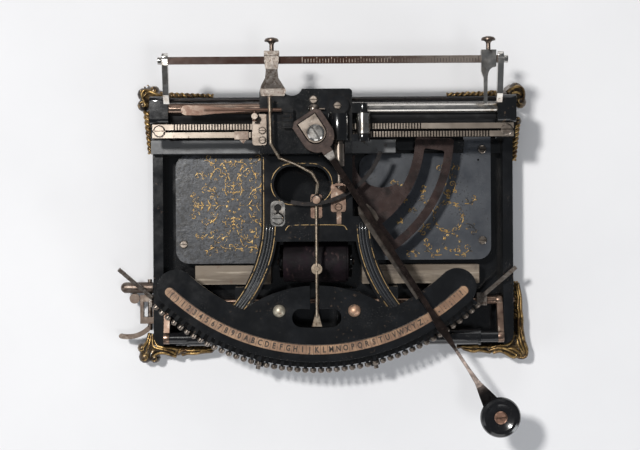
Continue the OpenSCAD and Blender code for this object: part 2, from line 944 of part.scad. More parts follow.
module knuckle_post() {
    color(nickel) {
        translate([spindle[0] - 1.4, spindle[1] + 21.1, tower_top])
            rotate_extrude()
                union() {
                    square([4.8, 3]);
                    intersection() {
                        translate([0, 3])
                            circle(4.8);
                        square([5, 8]);
                    }
                }
        bar_x(spindle[0] - 1.4, spindle[0] + 8, spindle[1] + 21.1, tower_top + 4, 1);
    }
}

module guide_roller() {
    color(nickel)
        translate([roller_x, roller_y[1], roller_z])
            rotate([90, 0, 0])
                difference() {
                    cylinder(r = roller_r, h = roller_y[1] - roller_y[0]);
                    translate([0, 0, -1])
                        cylinder(r = roller_axle_r + run, h = 30);
                }
}

module roller_axle() {
    color(nickel)
        bar_y(roller_x, 67.6, 101.2, roller_z, roller_axle_r);
}

// ---- carriage pointer on the tower ----

arm_step = ruler_top + 1;      // underside of the pointer arm where it passes over the ruler
arm_x = -52;

module thumbscrew(x, y, z) {
    // the axis runs to the rear
    translate([x, y, z])
        rotate([-90, 0, 0])
            rotate_extrude()
                polygon(concat([[0, -3], [1.9, -3], [1.9, 5]],
                    [for (i = [0:6]) [1.9 + 4.1 * (1 - cos(i * 15)), 5 + 3 * sin(i * 15)]],
                    [[6, 9.2], [5, 10.4], [2.5, 11.2], [0, 11.4]]));
}

module pointer_arm() {
    y_rear = ruler_rear + ruler_w + 0.5;
    color(nickel)
        difference() {
            union() {
                intersection() {
                    // side view
                    translate([arm_x - 20, 0, 0])
                        rotate([90, 0, 90])
                            linear_extrude(40)
                                polygon([[106, tower_top], [114.5, tower_top], [130, arm_step],
                                    [y_rear + 4, arm_step], [y_rear + 4, arm_step + 2],
                                    [129, arm_step + 2],
                                    [113.5, tower_top + 2.2], [106, tower_top + 2.2]]);
                    // top view
                    slab(tower_top - 1, arm_step + 5)
                        translate([arm_x, 0])
                            polygon([[-9.5, 107], [10.5, 107], [12, 112], [9.5, 116], [5.6, 122], [5, 128],
                                [6.4, 136], [6.4, 145], [-6.4, 145], [-6.4, 136], [-5, 128],
                                [-5.8, 122], [-9.4, 116], [-10.6, 112]]);
                }
                translate([arm_x - 6.4, y_rear, ruler_z - 3])
                    cube([12.8, 4, arm_step + 2.6 - ruler_z + 3]);
            }
            bar_y(arm_x, y_rear - 1, y_rear + 6, ruler_z + 1.2, 1.9 + run);
        }
}

module pointer_thumbscrew() {
    color(nickel)
        thumbscrew(arm_x, ruler_rear + ruler_w + 4.5 + gap, ruler_z + 1.2);
}

// ---- carriage ----

module carriage_end(side) {
    // side is -1 on the left and 1 on the right
    x0 = side > 0 ? end_in : -end_in - end_w;
    face = side > 0 ? end_in : -end_in - pin_depth;
    difference() {
        union() {
            translate([x0, 0, 0])
                rotate([90, 0, 90])
                    linear_extrude(end_w)
                        rounded_2d(end_y[0], end_bottom, end_y[1], end_top, 4);
            translate([x0, front_rack_y - 1.2, rack_z - 9])
                cube([end_w, end_y[0] - front_rack_y + 8, 9]);
        }
        bar_x(face, face + pin_depth, platen_y, platen_z, axle_r + run);
        bar_x(face, face + pin_depth, tube_y, tube_z, tube_pin_r + run);
        bar_x(face, face + pin_depth, tie_rod_at[0], tie_rod_at[1], tie_rod_r);
    }
}

module carriage_end_left() {
    color(black)
        carriage_end(-1);
}

module carriage_end_right() {
    color(black)
        carriage_end(1);
}

// A rack from the left end, whose teeth start at x0
module rack(y, x0) {
    gap_w = rack_pitch * 0.48;
    cut = 1.4;
    translate([0, y + rack_w, 0])
        rotate([90, 0, 0])
            linear_extrude(rack_w)
                polygon(concat([[-rack_l / 2, rack_z], [-rack_l / 2, rack_top]],
                    [for (i = [0:rack_teeth - 1], k = [0:3])
                        [x0 + i * rack_pitch + (k > 1 ? gap_w : 0),
                            k == 0 || k == 3 ? rack_top : rack_top - cut]],
                    [[rack_l / 2, rack_top], [rack_l / 2, rack_z]]));
}

module rear_rack() {
    color(nickel)
        rack(rear_rack_y, -137.5);
}

module front_rack() {
    color(nickel)
        rack(front_rack_y, -78.7);
}

module rack_screws() {
    color(nickel)
        for (s = [-1, 1]) {
            translate([s * (rack_l / 2 - 6), (rear_rack_y + front_rack_y + rack_w) / 2, rack_top])
                screw(5.2, 1.6, 0.9, rack_h);
        }
}

clip_w = 12;

module tab_clip() {
    x = -83;
    color(brass) {
        translate([x - 2, front_rack_y - 1.6, rack_top + gap])
            cube([clip_w, rack_w + 2.2, 1]);
        translate([x - 2, front_rack_y - 1.6, rack_z])
            cube([clip_w, 1.3, rack_h + gap + 0.5]);
        slab(rack_top - 2, rack_top + gap)
            polygon([[x + 2, front_rack_y - 1.6], [x + 8.6, front_rack_y - 1.6], [x + 5.3, 67]]);
    }
}

module platen() {
    color([0.12, 0.12, 0.12])
        difference() {
            bar_x(-end_in + gap, end_in - gap, platen_y, platen_z, platen_r);
            bar_x(-200, 200, platen_y, platen_z, axle_r);
        }
}

module platen_axle() {
    color(nickel)
        bar_x(-end_in - pin_depth + gap, end_in + pin_depth - gap, platen_y, platen_z, axle_r);
}

module pressing_tube() {
    color(nickel) {
        bar_x(-end_in + gap, end_in - gap, tube_y, tube_z, tube_r);
        bar_x(-end_in - pin_depth + gap, end_in + pin_depth - gap, tube_y, tube_z, tube_pin_r);
    }
}

module tie_rod() {
    color(black)
        bar_x(-end_in - pin_depth, end_in + pin_depth, tie_rod_at[0], tie_rod_at[1], tie_rod_r);
}

ruler_arm_x = [rack_l / 2 - 15.6, rack_l / 2 - 10.6];

module ruler() {
    color(brown_steel)
        difference() {
            translate([-ruler_arm_x[0], ruler_rear, ruler_z])
                cube([2 * ruler_arm_x[0], ruler_w, ruler_t]);
            // graduations from the middle to the right end
            for (i = [0:59]) {
                translate([-23 + i * rack_pitch, ruler_rear - 1, ruler_top - 0.3])
                    cube([0.5, i % 10 == 0 ? 6.2 : (i % 5 == 0 ? 5.2 : 4.2), 1]);
            }
        }
}

module ruler_arms() {
    color(nickel)
        for (s = [-1, 1]) {
            x0 = s > 0 ? ruler_arm_x[0] : -ruler_arm_x[1];
            w = ruler_arm_x[1] - ruler_arm_x[0];
            translate([x0, 0, 0])
                rotate([90, 0, 90])
                    linear_extrude(w)
                        union() {
                            polygon([[101, end_top], [107.6, end_top], [111.5, end_top + 3], [141.4, 99.6],
                                [141.4, 105.6], [133, 105.6], [108, end_top + 8.4], [101, end_top + 2.4]]);
                            translate([140, 102.6])
                                circle(3.6);
                        }
            // the head of the ruler's end screw
            translate([s * (ruler_arm_x[1] + 1.8), ruler_rear + 3.3, ruler_top - 1.8])
                rotate([0, 90, 0])
                    cylinder(r = 3.2, h = 3.6, center = true);
        }
}

stop_x = ruler_arm_x[0] - 8;

module margin_stop() {
    y_rear = ruler_rear + ruler_w + 0.5;
    color(nickel)
        difference() {
            union() {
                // the saddle over the ruler
                translate([stop_x - 6.4, ruler_rear - 0.5, ruler_top + gap])
                    cube([12.8, ruler_w + 5, 2]);
                translate([stop_x - 6.4, y_rear, ruler_z - 3])
                    cube([12.8, 4, ruler_t + 3.3 + gap]);
                // the finger that reaches forward
                slab(ruler_z - 0.2, ruler_top + gap + 2)
                    translate([stop_x - 6.4, 0])
                        polygon(concat([[0, ruler_rear - 0.4], [0, 126], [2, 121], [2, 99.5], [5, 99.5]],
                            curve([5.4, 121], [6, ruler_rear - 4], [12.8, ruler_rear - 3.6], 6),
                            [[12.8, ruler_rear - 0.4]]));
            }
            bar_y(stop_x, y_rear - 1, y_rear + 6, ruler_z + 1.2, 1.9 + run);
        }
}

module margin_thumbscrew() {
    color(nickel)
        thumbscrew(stop_x, ruler_rear + ruler_w + 4.5 + gap, ruler_z + 1.2);
}

// ---- turret and pointer lever ----

// The block's outline with a round front, grown by g
module block_2d(g) {
    translate([block_l[0] - g, -block_w / 2 - g])
        square([-block_l[0] + g, block_w + 2 * g]);
    circle(block_w / 2 + g);
}

module hub_block() {
    color(nickel)
        lever_frame()
            difference() {
                union() {
                    slab(boss_z + boss_r + 0.7, hub_top)
                        block_2d(0);
                    slab(tower_top + gap, hub_top - 1)
                        circle(8.2);
                    translate([0, 0, under_tower - 0.6])
                        cylinder(r = spindle_r, h = tower_plate_t + 2);
                    // the press pins
                    bar_y(press_x, -yoke_w / 2 + 0.4, yoke_w / 2 - 0.4, yoke_mid_z, press_pin_r);
                }
                translate([0, 0, hub_top - 4])
                    cylinder(r = 2.5, h = 5);
            }
}

module swivel_screw() {
    color(nickel)
        lever_frame()
            translate([0, 0, hub_top])
                screw(7, 3, 2.5, 4);
}

module yoke() {
    color(brown_steel)
        lever_frame()
            difference() {
                slab(yoke_z, yoke_z + yoke_t)
                    difference() {
                        union() {
                            polygon([[yoke_l[0], 4 - yoke_w / 2], [yoke_l[0] + 4, -yoke_w / 2],
                                [yoke_bend, -yoke_w / 2], [yoke_bend, yoke_w / 2],
                                [yoke_l[0] + 4, yoke_w / 2], [yoke_l[0], yoke_w / 2 - 4]]);
                            translate([yoke_bend, 0])
                                circle(yoke_w / 2);
                            translate([yoke_bend + 10, -4.5])
                                square([yoke_l[1] - yoke_bend - 10, 9]);
                        }
                        block_2d(0.6);
                    }
                bar_y(press_x, -20, 20, yoke_mid_z, press_pin_r + run);
            }
}

function arm_z(x) = arm_z0 - (x - yoke_l[1]) * arm_drop;

module lever_arm() {
    blade_x = (blade_l[0] + blade_l[1]) / 2;
    low = arm_z(215);
    color(brown_steel)
        lever_frame()
            union() {
                intersection() {
                    // side view: down to the comb, then up to the knob
                    translate([0, 30, 0])
                        rotate([90, 0, 0])
                            linear_extrude(60)
                                polygon([[yoke_l[1], arm_z0 - arm_t / 2], [215, low - arm_t / 2],
                                    [225, low - arm_t / 2], [262, knob_z - 5 - arm_t],
                                    [knob_reach + 8, knob_z - 5 - arm_t],
                                    [knob_reach + 8, knob_z - 5], [260, knob_z - 5], [224, low + arm_t / 2],
                                    [215, low + arm_t / 2], [yoke_l[1], arm_z0 + arm_t / 2]]);
                    // top view: the blade over the comb, the waist and the paddle below the knob
                    slab(60, 120)
                        for (side = [0, 1]) {
                            mirror([0, side])
                                polygon([[yoke_l[1], 0], [yoke_l[1], 4.5], [26, arm_w / 2],
                                    [180, arm_w * 0.42], [190, 3.2], [200, 4.2], [212, 2.6], [222, 1.4],
                                    [242, 1.5], [256, 2.4], [268, 5.4], [280, 8], [knob_reach, 8],
                                    [knob_reach + 8, 0]]);
                        }
                }
                translate([blade_l[0], -blade_t / 2, blade_z])
                    cube([blade_l[1] - blade_l[0], blade_t, arm_z(blade_x) - blade_z]);
            }
}

module guide_strip() {
    color(nickel)
        lever_frame() {
            intersection() {
                rotate([90, 0, 0])
                        linear_extrude(60, center = true)
                            polygon([[70, arm_z(70) - arm_t / 2 - 1.8], [167, arm_z(167) - arm_t / 2 - 1.8],
                                [167, arm_z(167) - arm_t / 2], [70, arm_z(70) - arm_t / 2]]);
                slab(60, 120)
                    polygon([[72, -4], [78, -6.6], [88, -7], [167, -5], [167, -2.4], [94, -2.2],
                        [90, 6], [84, 6.6], [78, 5.4], [74, 4]]);
            }
        }
}

module knob() {
    color([0.05, 0.05, 0.05])
        lever_frame()
            translate([knob_reach, 0, knob_z - 5])
                rotate_extrude()
                    difference() {
                        polygon([[0, 0], [knob_r - 5, 0], [knob_r - 1, 2.2], [knob_r, 5],
                            [knob_r - 1, 7.4], [knob_r - 3.4, 8.6], [0, 8.6]]);
                        // the dish
                        translate([0, 8.6 + 30])
                            circle(32.2, $fn = 90);
                        translate([0, 3])
                            square([2, 10]);
                        translate([0, 6.4])
                            square([5.8, 4]);
                    }
}

module knob_screw() {
    dish = knob_z - 5 + 8.6 - 2.2;
    color([0.6, 0.35, 0.22])
        lever_frame()
            translate([knob_reach, 0, dish])
                rotate([0, 0, 60])
                    screw(5.6, 1.8, 2, dish - knob_z + 2);
}

// ---- type sector ----

module type_sector() {
    color(brown_steel)
        at_spindle() {
            slab(sector_z, sector_z + sector_t)
                union() {
                    difference() {
                        square_arc_2d(sector_r_in, sector_r_out, sector_span[0], sector_span[1], 3);
                        square_arc_2d(sector_r_in + sector_rim, sector_r_out - sector_rim + 1,
                            slot_span[0], slot_span[1], 2);
                    }
                    // the web that carries it, hollowed so that it passes the tower's pillar
                    difference() {
                        polygon([[4, 4], on_circle(90, -31), on_circle(90, -45), on_circle(90, -56),
                            on_circle(10, -100)]);
                        translate(on_circle(62, -20))
                            circle(24);
                        sector_2d(pillar_pass_r[0], pillar_pass_r[1], pillar_pass_turn, 60);
                        circle(sector_pin_r + run);
                    }
                }
            slab(sector_hub_z[0], sector_hub_z[1])
                difference() {
                    circle(sector_hub_r);
                    circle(sector_pin_r + run);
                }
        }
}

// ---- selector ----

module selector_rod() {
    x = selector_at[0];
    color([0.75, 0.66, 0.6])
        union() {
            difference() {
                union() {
                    slab(selector_z - 1.5, selector_z + 2)
                        translate(selector_at)
                            circle(4.2);
                    slab(selector_z - 1.2, selector_z + 1.2)
                        translate([x, eye_y])
                            circle(4.8);
                    bar_y(x, tail_y[0], selector_at[1] - 3, selector_z, selector_rod_r);
                    slab(selector_z - 1.4, selector_z + 0.6)
                        polygon([[x - 1.4, tail_y[0] + 3], [x + 1.4, tail_y[0] + 3],
                            [x + 4.4, tail_y[1]], [x - 4.4, tail_y[1]]]);
                }
                translate([selector_at[0], selector_at[1], selector_z - 3])
                    cylinder(r = 2 + run, h = 9);
                translate([x, eye_y, selector_z - 3])
                    cylinder(r = 2, h = 9);
            }
            // the screw in the eye
            translate([x, eye_y, selector_z - 1.2])
                cylinder(r = 2, h = 3.2);
            // the bent rod that climbs over the tower
            for (i = [1:len(rear_rod) - 1]) {
                rod(rear_rod[i - 1], rear_rod[i], 1.5);
            }
        }
}

module cross_arm() {
    color(black)
        difference() {
            union() {
                slab(selector_z + 2, selector_z + 4.6)
                    translate(cross_arm_at)
                        sector_2d(cross_arm_r - 1.8, cross_arm_r + 1.8,
                            cross_arm_span[0], cross_arm_span[1]);
                slab(selector_z + 2, selector_z + 4.6)
                    translate(selector_at)
                        circle(4.4);
            }
            translate([selector_at[0], selector_at[1], selector_z])
                cylinder(r = 2 + run, h = 9);
        }
}

module selector_pivot() {
    color(nickel) {
        slab(index_z, index_z + 1.6)
            rounded_2d(selector_at[0] - 5, 2.4, selector_at[0] + 5, selector_at[1] + 5, 2);
        translate([selector_at[0], selector_at[1], index_z])
            cylinder(r = 2, h = selector_z + 5 - index_z);
        translate([selector_at[0], selector_at[1], selector_z + 4.9])
            cylinder(r = 3.4, h = 1.4);
    }
}

// ---- front levers ----

finger_in = strap_x[0] - 13.3;   // where the right finger bar leaves the cross shaft

module cross_shaft() {
    color(nickel) {
        bar_x(-base_w / 2 - 4, base_w / 2 + 1.5, cross_at[0], cross_at[1], cross_shaft_r);
        bar_x(finger_in + 4, strap_x[0], cross_at[0], cross_at[1], sleeve_r);
        bar_x(-strap_x[0], -finger_in - 4, cross_at[0], cross_at[1], sleeve_r);
    }
}

module space_bar() {
    color(black) {
        difference() {
            bar_x(-space_bar_half, space_bar_half, space_bar_at[0], space_bar_at[1], space_bar_r);
            bar_x(-200, 200, space_bar_at[0], space_bar_at[1], 2);
        }
        for (s = [0, 1]) {
            mirror([s, 0, 0])
                difference() {
                    bar_x(space_bar_half + end_ring_w, strap_x[0],
                        space_bar_at[0], space_bar_at[1], bar_end_r);
                    bar_x(-200, 200, space_bar_at[0], space_bar_at[1], 2);
                }
        }
    }
    color(brass)
        for (s = [-1, 1]) {
            difference() {
                translate([s * (space_bar_half + end_ring_w / 2), space_bar_at[0], space_bar_at[1]])
                    rotate([0, 90, 0])
                        cylinder(r = space_bar_r + 0.6, h = end_ring_w, center = true);
                bar_x(-200, 200, space_bar_at[0], space_bar_at[1], 2);
            }
        }
}

module bar_straps() {
    color(nickel) {
        for (s = [-1, 1]) {
            translate([s > 0 ? strap_x[0] : -strap_x[1], 0, 0])
                rotate([90, 0, 90])
                    linear_extrude(strap_x[1] - strap_x[0])
                        difference() {
                            union() {
                                translate(cross_at)
                                    circle(4.6);
                                translate(space_bar_at)
                                    circle(bar_end_r + 0.4);
                                polygon([cross_at + [1, 3.6], space_bar_at + [1, 3.6],
                                    space_bar_at - [1, 3.6], cross_at - [1, 3.6]]);
                            }
                            translate(cross_at)
                                circle(cross_shaft_r);
                        }
        }
        // the rod inside the space bar
        bar_x(-strap_x[0] - 1, strap_x[0] + 1, space_bar_at[0], space_bar_at[1], 2);
    }
}

module finger_bars() {
    color(nickel)
        for (s = [-1, 1]) {
            inner = s > 0 ? finger_in : base_w / 2 + 1.2;
            outer = s > 0 ? finger_in + 28.5 : base_w / 2 + 29;
            difference() {
                union() {
                    translate([s > 0 ? inner - 5 : -inner - 2.8, cross_at[0] - 4.4, cross_at[1] - 4.4])
                        cube([s > 0 ? 9 : 2.8, 8.8, 12]);
                    translate([s > 0 ? inner - 5 : -inner - 2.8, cross_at[0], cross_at[1] + 4.4])
                        cube([s > 0 ? 9 : 2.8, 7, 3.2]);
                    slanted_bar([s * inner, cross_at[0] + 4, 38.5], [s * outer, cross_at[0] + 30, 52]);
                }
                bar_x(-300, 300, cross_at[0], cross_at[1], cross_shaft_r);
            }
        }
}

// A square bar between two points
module slanted_bar(a, b) {
    d = b - a;
    l = norm(d);
    translate(a)
        rotate([0, acos(d[2] / l), atan2(d[1], d[0])])
            translate([-1.7, -1.7, 0])
                cube([3.4, 3.4, l]);
}

module fork_bracket() {
    wall = -base_w / 2;
    color(brown_steel)
        difference() {
            union() {
                for (y = ear_y) {
                    translate([prong_x, y, rock_z - ear_h])
                        cube([wall - prong_x, ear_t, 2 * ear_h]);
                }
                for (x = [prong_x, wall - 2]) {
                    translate([x, ear_y[0], rock_z - ear_h])
                        cube([x < wall - 2 ? 3 : 2, ear_y[1] - ear_y[0] + ear_t, 2 * ear_h]);
                }
            }
            bar_y(rock_x, ear_y[0] - 1, ear_y[1] + ear_t + 1, rock_z, rock_shaft_r + run);
        }
}

module left_lever() {
    hook_r = 27;
    hook_w = 4.4;
    color(nickel)
        union() {
            bar_y(rock_x, rock_shaft_y[0], rock_shaft_y[1], rock_z, rock_shaft_r);
            // the round-nosed key
            translate([rock_x - 26.5, key_y, rock_z])
                rotate([0, 90, 0])
                    rotate_extrude()
                        union() {
                            intersection() {
                                translate([0, key_r])
                                    circle(key_r);
                                square([key_r, key_r]);
                            }
                            translate([0, key_r])
                                square([key_r, 24.5]);
                        }
            // the round pad beside it
            translate([rock_x - 14.2, key_y - 10, rock_z - 7])
                cylinder(r = 4.6, h = 5.6);
            translate([rock_x - 16.2, key_y - 10, rock_z - 4])
                cube([4, 9, 2.4]);
            // the hooked finger piece
            slab(rock_z - 1.8, rock_z + 1.8)
                translate([rock_x - 20, rock_shaft_y[0] + 21]) {
                    sector_2d(hook_r - hook_w / 2, hook_r + hook_w / 2, -103, -44);
                    translate(on_circle(hook_r, -103))
                        circle(hook_w / 2);
                }
        }
}

base_casting();
corner_feet();
left_deck_plate();
right_deck_plate();
fixing_screws();
rear_rail();
sector_pin();
wood_blocks();
lyre_frame();
tower_frame();
keyhole_plate();
index_plate();
index_strip();
index_posts();
dome_nuts();
comb();
comb_beads();
ink_drum();
drum_shaft();
drum_brackets();
left_bracket();
paddle_lever();
plunger();
plunger_bracket();
knuckle_post();
guide_roller();
roller_axle();
pointer_arm();
pointer_thumbscrew();
carriage_end_left();
carriage_end_right();
rear_rack();
front_rack();
rack_screws();
tab_clip();
platen();
platen_axle();
pressing_tube();
tie_rod();
ruler();
ruler_arms();
margin_stop();
margin_thumbscrew();
hub_block();
swivel_screw();
yoke();
lever_arm();
guide_strip();
knob();
knob_screw();
type_sector();
selector_rod();
cross_arm();
selector_pivot();
cross_shaft();
space_bar();
bar_straps();
finger_bars();
fork_bracket();
left_lever();
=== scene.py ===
# %% [markdown]
# # An index typewriter, seen from above
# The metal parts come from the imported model, each in its own place. This lesson dresses
# them: it mixes the finishes, lays the gold lines and scrollwork, sets the letters on the
# index, models the cast ornament of the feet, and lights the whole as in a studio.

import json
import math

import bmesh
import bpy
from mathutils import Matrix, Vector


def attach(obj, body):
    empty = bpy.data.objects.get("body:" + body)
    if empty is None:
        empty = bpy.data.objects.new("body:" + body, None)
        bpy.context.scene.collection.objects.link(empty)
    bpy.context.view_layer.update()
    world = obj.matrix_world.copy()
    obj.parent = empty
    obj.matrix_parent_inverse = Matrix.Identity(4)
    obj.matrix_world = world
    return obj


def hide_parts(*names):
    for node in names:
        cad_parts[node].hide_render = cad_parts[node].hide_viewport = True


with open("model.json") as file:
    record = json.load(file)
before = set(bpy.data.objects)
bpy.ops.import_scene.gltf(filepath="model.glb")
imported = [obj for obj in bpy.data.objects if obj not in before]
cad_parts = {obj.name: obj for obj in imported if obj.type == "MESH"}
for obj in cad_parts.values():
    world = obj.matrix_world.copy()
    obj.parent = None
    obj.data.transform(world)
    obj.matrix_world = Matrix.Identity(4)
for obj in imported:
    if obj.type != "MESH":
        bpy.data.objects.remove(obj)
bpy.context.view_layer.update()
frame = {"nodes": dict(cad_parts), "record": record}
nodes = frame["nodes"]

MM = 0.001


# %% [markdown]
# ## Camera
# The machine was photographed from straight above, so the camera has no tilt. A long lens
# from 1.3 m keeps the tall rear from hiding the parts below it. The machine lay turned by
# a fraction of a degree, which a small roll of the camera repeats.

# %% Camera
VIEW_MIDDLE = (-11.7, -3.6)
VIEW_HEIGHT = 1.3
LENS = 79.1
ROLL = -0.35


def put(name, data):
    """Makes an object of the data and adds it to the scene."""
    obj = bpy.data.objects.new(name, data)
    bpy.context.scene.collection.objects.link(obj)
    return obj


camera = put("photo_camera", bpy.data.cameras.new("photo_camera"))
camera.data.sensor_width = 36
camera.data.lens = LENS
camera.location = (VIEW_MIDDLE[0] * MM, VIEW_MIDDLE[1] * MM, VIEW_HEIGHT)
camera.rotation_euler = (0, 0, math.radians(ROLL))
bpy.context.scene.camera = camera
print("camera height:", camera.location.z)


# %% [markdown]
# ## Studio
# One lamp high at the rear left throws the clear shadows to the front right. Broad, weak
# lamps at the sides open up the shadows, and the space straight above stays dim, because
# flat black enamel mirrors whatever hangs over it. The one weak lamp near the camera,
# which adds the pale second shadows at the rear left, is kept out of reflections.

# %% Lamps and background
def lamp(name, place, size, watts, colour=(1, 1, 1)):
    """A square lamp that points at the middle of the machine."""
    light = bpy.data.lights.new(name, "AREA")
    light.size = size
    light.energy = watts
    light.color = colour
    obj = put(name, light)
    obj.location = place
    obj.rotation_euler = (-Vector(place)).to_track_quat("-Z", "Y").to_euler()
    return obj


lamp("key_lamp", (-0.80, 0.62, 2.5), 0.2, 54, (1.0, 0.985, 0.96))
front_lamp = lamp("front_lamp", (0.42, -0.38, 2.5), 0.3, 7)
front_lamp.visible_glossy = False
lamp("right_fill", (1.5, -1.3, 0.85), 0.6, 9, (0.94, 0.97, 1.0))
lamp("left_fill", (-1.7, -0.8, 1.0), 1.2, 7, (0.94, 0.97, 1.0))
lamp("rear_fill", (0.2, 2.0, 1.1), 1.4, 8)
lamp("front_fill", (0.1, -1.9, 1.0), 1.2, 7)

world = bpy.data.worlds.new("dim_room")
world.use_nodes = True
background = world.node_tree.nodes["Background"]
background.inputs["Color"].default_value = (0.86, 0.92, 1.0, 1)
background.inputs["Strength"].default_value = 0.13
bpy.context.scene.world = world
bpy.context.scene.view_settings.view_transform = "Standard"
bpy.context.scene.view_settings.look = "None"
print("lamps:", len(bpy.data.lights))


# %% [markdown]
# ## Finishes
# Every finish is mixed from the same few steps: a base colour, patches that noise cuts out
# of a second and third colour, a roughness that wanders, and a fine bump. The patches make
# the difference between enamel that left the factory yesterday and enamel with a century
# of hands on it. The coordinates are the object's own, in metres, so a scale of 900 gives
# patches about a millimetre wide.

# %% Nodes in a few words
def add_node(tree, kind, **values):
    n = tree.nodes.new(kind)
    for key, value in values.items():
        if key in n.inputs:
            n.inputs[key].default_value = value
        else:
            setattr(n, key, value)
    return n


def own_place(tree):
    node = tree.nodes.get("place") or add_node(tree, "ShaderNodeTexCoord", name="place")
    return node.outputs["Object"]


def cut(tree, value, low, high):
    """0 where the value is low, 1 where it is high."""
    out = add_node(tree, "ShaderNodeMapRange")
    out.inputs["From Min"].default_value = low
    out.inputs["From Max"].default_value = high
    tree.links.new(value, out.inputs["Value"])
    return out.outputs["Result"]


print("helpers: add_node, own_place, cut")

# %% Masks
def patches(scale, low, high, stretch=(1, 1, 1)):
    """Spots where noise passes from low to high."""
    def build(tree):
        turn = add_node(tree, "ShaderNodeMapping", Scale=stretch)
        noise = add_node(tree, "ShaderNodeTexNoise", Scale=scale, Detail=5.0, Roughness=0.6)
        tree.links.new(own_place(tree), turn.inputs["Vector"])
        tree.links.new(turn.outputs["Vector"], noise.inputs["Vector"])
        return cut(tree, noise.outputs["Fac"], low, high)
    return build


def along(axis, start, end):
    """Grows from 0 at start to 1 at end, in mm along X, Y or Z."""
    def build(tree):
        parts = add_node(tree, "ShaderNodeSeparateXYZ")
        tree.links.new(own_place(tree), parts.inputs["Vector"])
        return cut(tree, parts.outputs[axis], start * MM, end * MM)
    return build


def around(x, y, start, end):
    """Grows with the distance from an upright line through x, y."""
    def build(tree):
        flat = add_node(tree, "ShaderNodeVectorMath", operation="MULTIPLY")
        flat.inputs[1].default_value = (1, 1, 0)
        reach = add_node(tree, "ShaderNodeVectorMath", operation="DISTANCE")
        reach.inputs[1].default_value = (x * MM, y * MM, 0)
        tree.links.new(own_place(tree), flat.inputs[0])
        tree.links.new(flat.outputs["Vector"], reach.inputs[0])
        return cut(tree, reach.outputs["Value"], start * MM, end * MM)
    return build


def crevices(reach, opening=0.85, bottom=0.45):
    """1 deep in slots and corners, where the open half of the sky is hidden. A dark layer on this mask is
    painted shade; the lighter layer of the japan black is dust.
    """
    def build(tree):
        hidden = add_node(tree, "ShaderNodeAmbientOcclusion", samples=4)
        hidden.inputs["Distance"].default_value = reach * MM
        return cut(tree, hidden.outputs["AO"], opening, bottom)
    return build


def both(*masks):
    """Only where all the masks meet."""
    def build(tree):
        value = masks[0](tree)
        for mask in masks[1:]:
            product = add_node(tree, "ShaderNodeMath", operation="MULTIPLY")
            tree.links.new(value, product.inputs[0])
            tree.links.new(mask(tree), product.inputs[1])
            value = product.outputs[0]
        return value
    return build


print("masks: patches, along, around, crevices, both")


# %% [markdown]
# ### One recipe
# A finish could be a photograph laid over the metal, but then it would be as coarse as the
# picture. Layers of colour with masks stay sharp from any distance. Each layer lies over
# the ones before it, where its mask is 1. Roughness and bump follow noise of their own.

# %% One recipe for every finish
FACTOR, BELOW, ABOVE, BLENDED = 0, 6, 7, 2  # places of the colour sockets on a Mix node


def layered_colour(tree, base, over):
    """The output of the last colour layer, or None without layers."""
    colour = None
    for colour_over, mask in over:
        mix = add_node(tree, "ShaderNodeMix", data_type="RGBA")
        tree.links.new(mask(tree), mix.inputs[FACTOR])
        mix.inputs[BELOW].default_value = (*base, 1)
        if colour:
            tree.links.new(colour, mix.inputs[BELOW])
        mix.inputs[ABOVE].default_value = (*colour_over, 1)
        colour = mix.outputs[BLENDED]
    return colour


def layered_bump(tree, bump):
    """The output of the last bump, or None without bumps."""
    normal = None
    for scale, strength, height, *stretch in bump:
        dent = add_node(tree, "ShaderNodeBump", Strength=strength, Distance=height * MM)
        relief = patches(scale, 0.25, 0.75, *stretch)(tree)
        tree.links.new(relief, dent.inputs["Height"])
        if normal:
            tree.links.new(normal, dent.inputs["Normal"])
        normal = dent.outputs["Normal"]
    return normal


def finish(name, base, over=(), rough=(0.3, 0.5, 120), metal=0.0, bump=(), coat=0.0, shine=0.5):
    """over: (colour, mask) layers from the bottom up. rough: lowest, highest, scale.
    bump: (scale, strength, millimetres[, stretch]). shine: the strength of its reflections."""
    mat = bpy.data.materials.new(name)
    mat.use_nodes = True
    tree = mat.node_tree
    shader = tree.nodes["Principled BSDF"]
    shader.inputs["Base Color"].default_value = (*base, 1)
    shader.inputs["Metallic"].default_value = metal
    shader.inputs["Coat Weight"].default_value = coat
    shader.inputs["Specular IOR Level"].default_value = shine
    colour = layered_colour(tree, base, over)
    if colour:
        tree.links.new(colour, shader.inputs["Base Color"])
    wander = add_node(tree, "ShaderNodeMapRange")
    wander.inputs["To Min"].default_value = rough[0]
    wander.inputs["To Max"].default_value = rough[1]
    tree.links.new(patches(rough[2], 0.3, 0.7)(tree), wander.inputs["Value"])
    tree.links.new(wander.outputs["Result"], shader.inputs["Roughness"])
    normal = layered_bump(tree, bump)
    if normal:
        tree.links.new(normal, shader.inputs["Normal"])
    return mat


print("recipe: colour layers, roughness, bumps")


# %% [markdown]
# ### Enamels and iron
# Japan black is a lacquer of asphalt, baked on iron. It is deep and glossy, with dust in
# the corners, grey scuffs and a few chips down to brown iron. The deck plates have the same
# lacquer with a bluish bloom, and the left one is pitted with black specks.

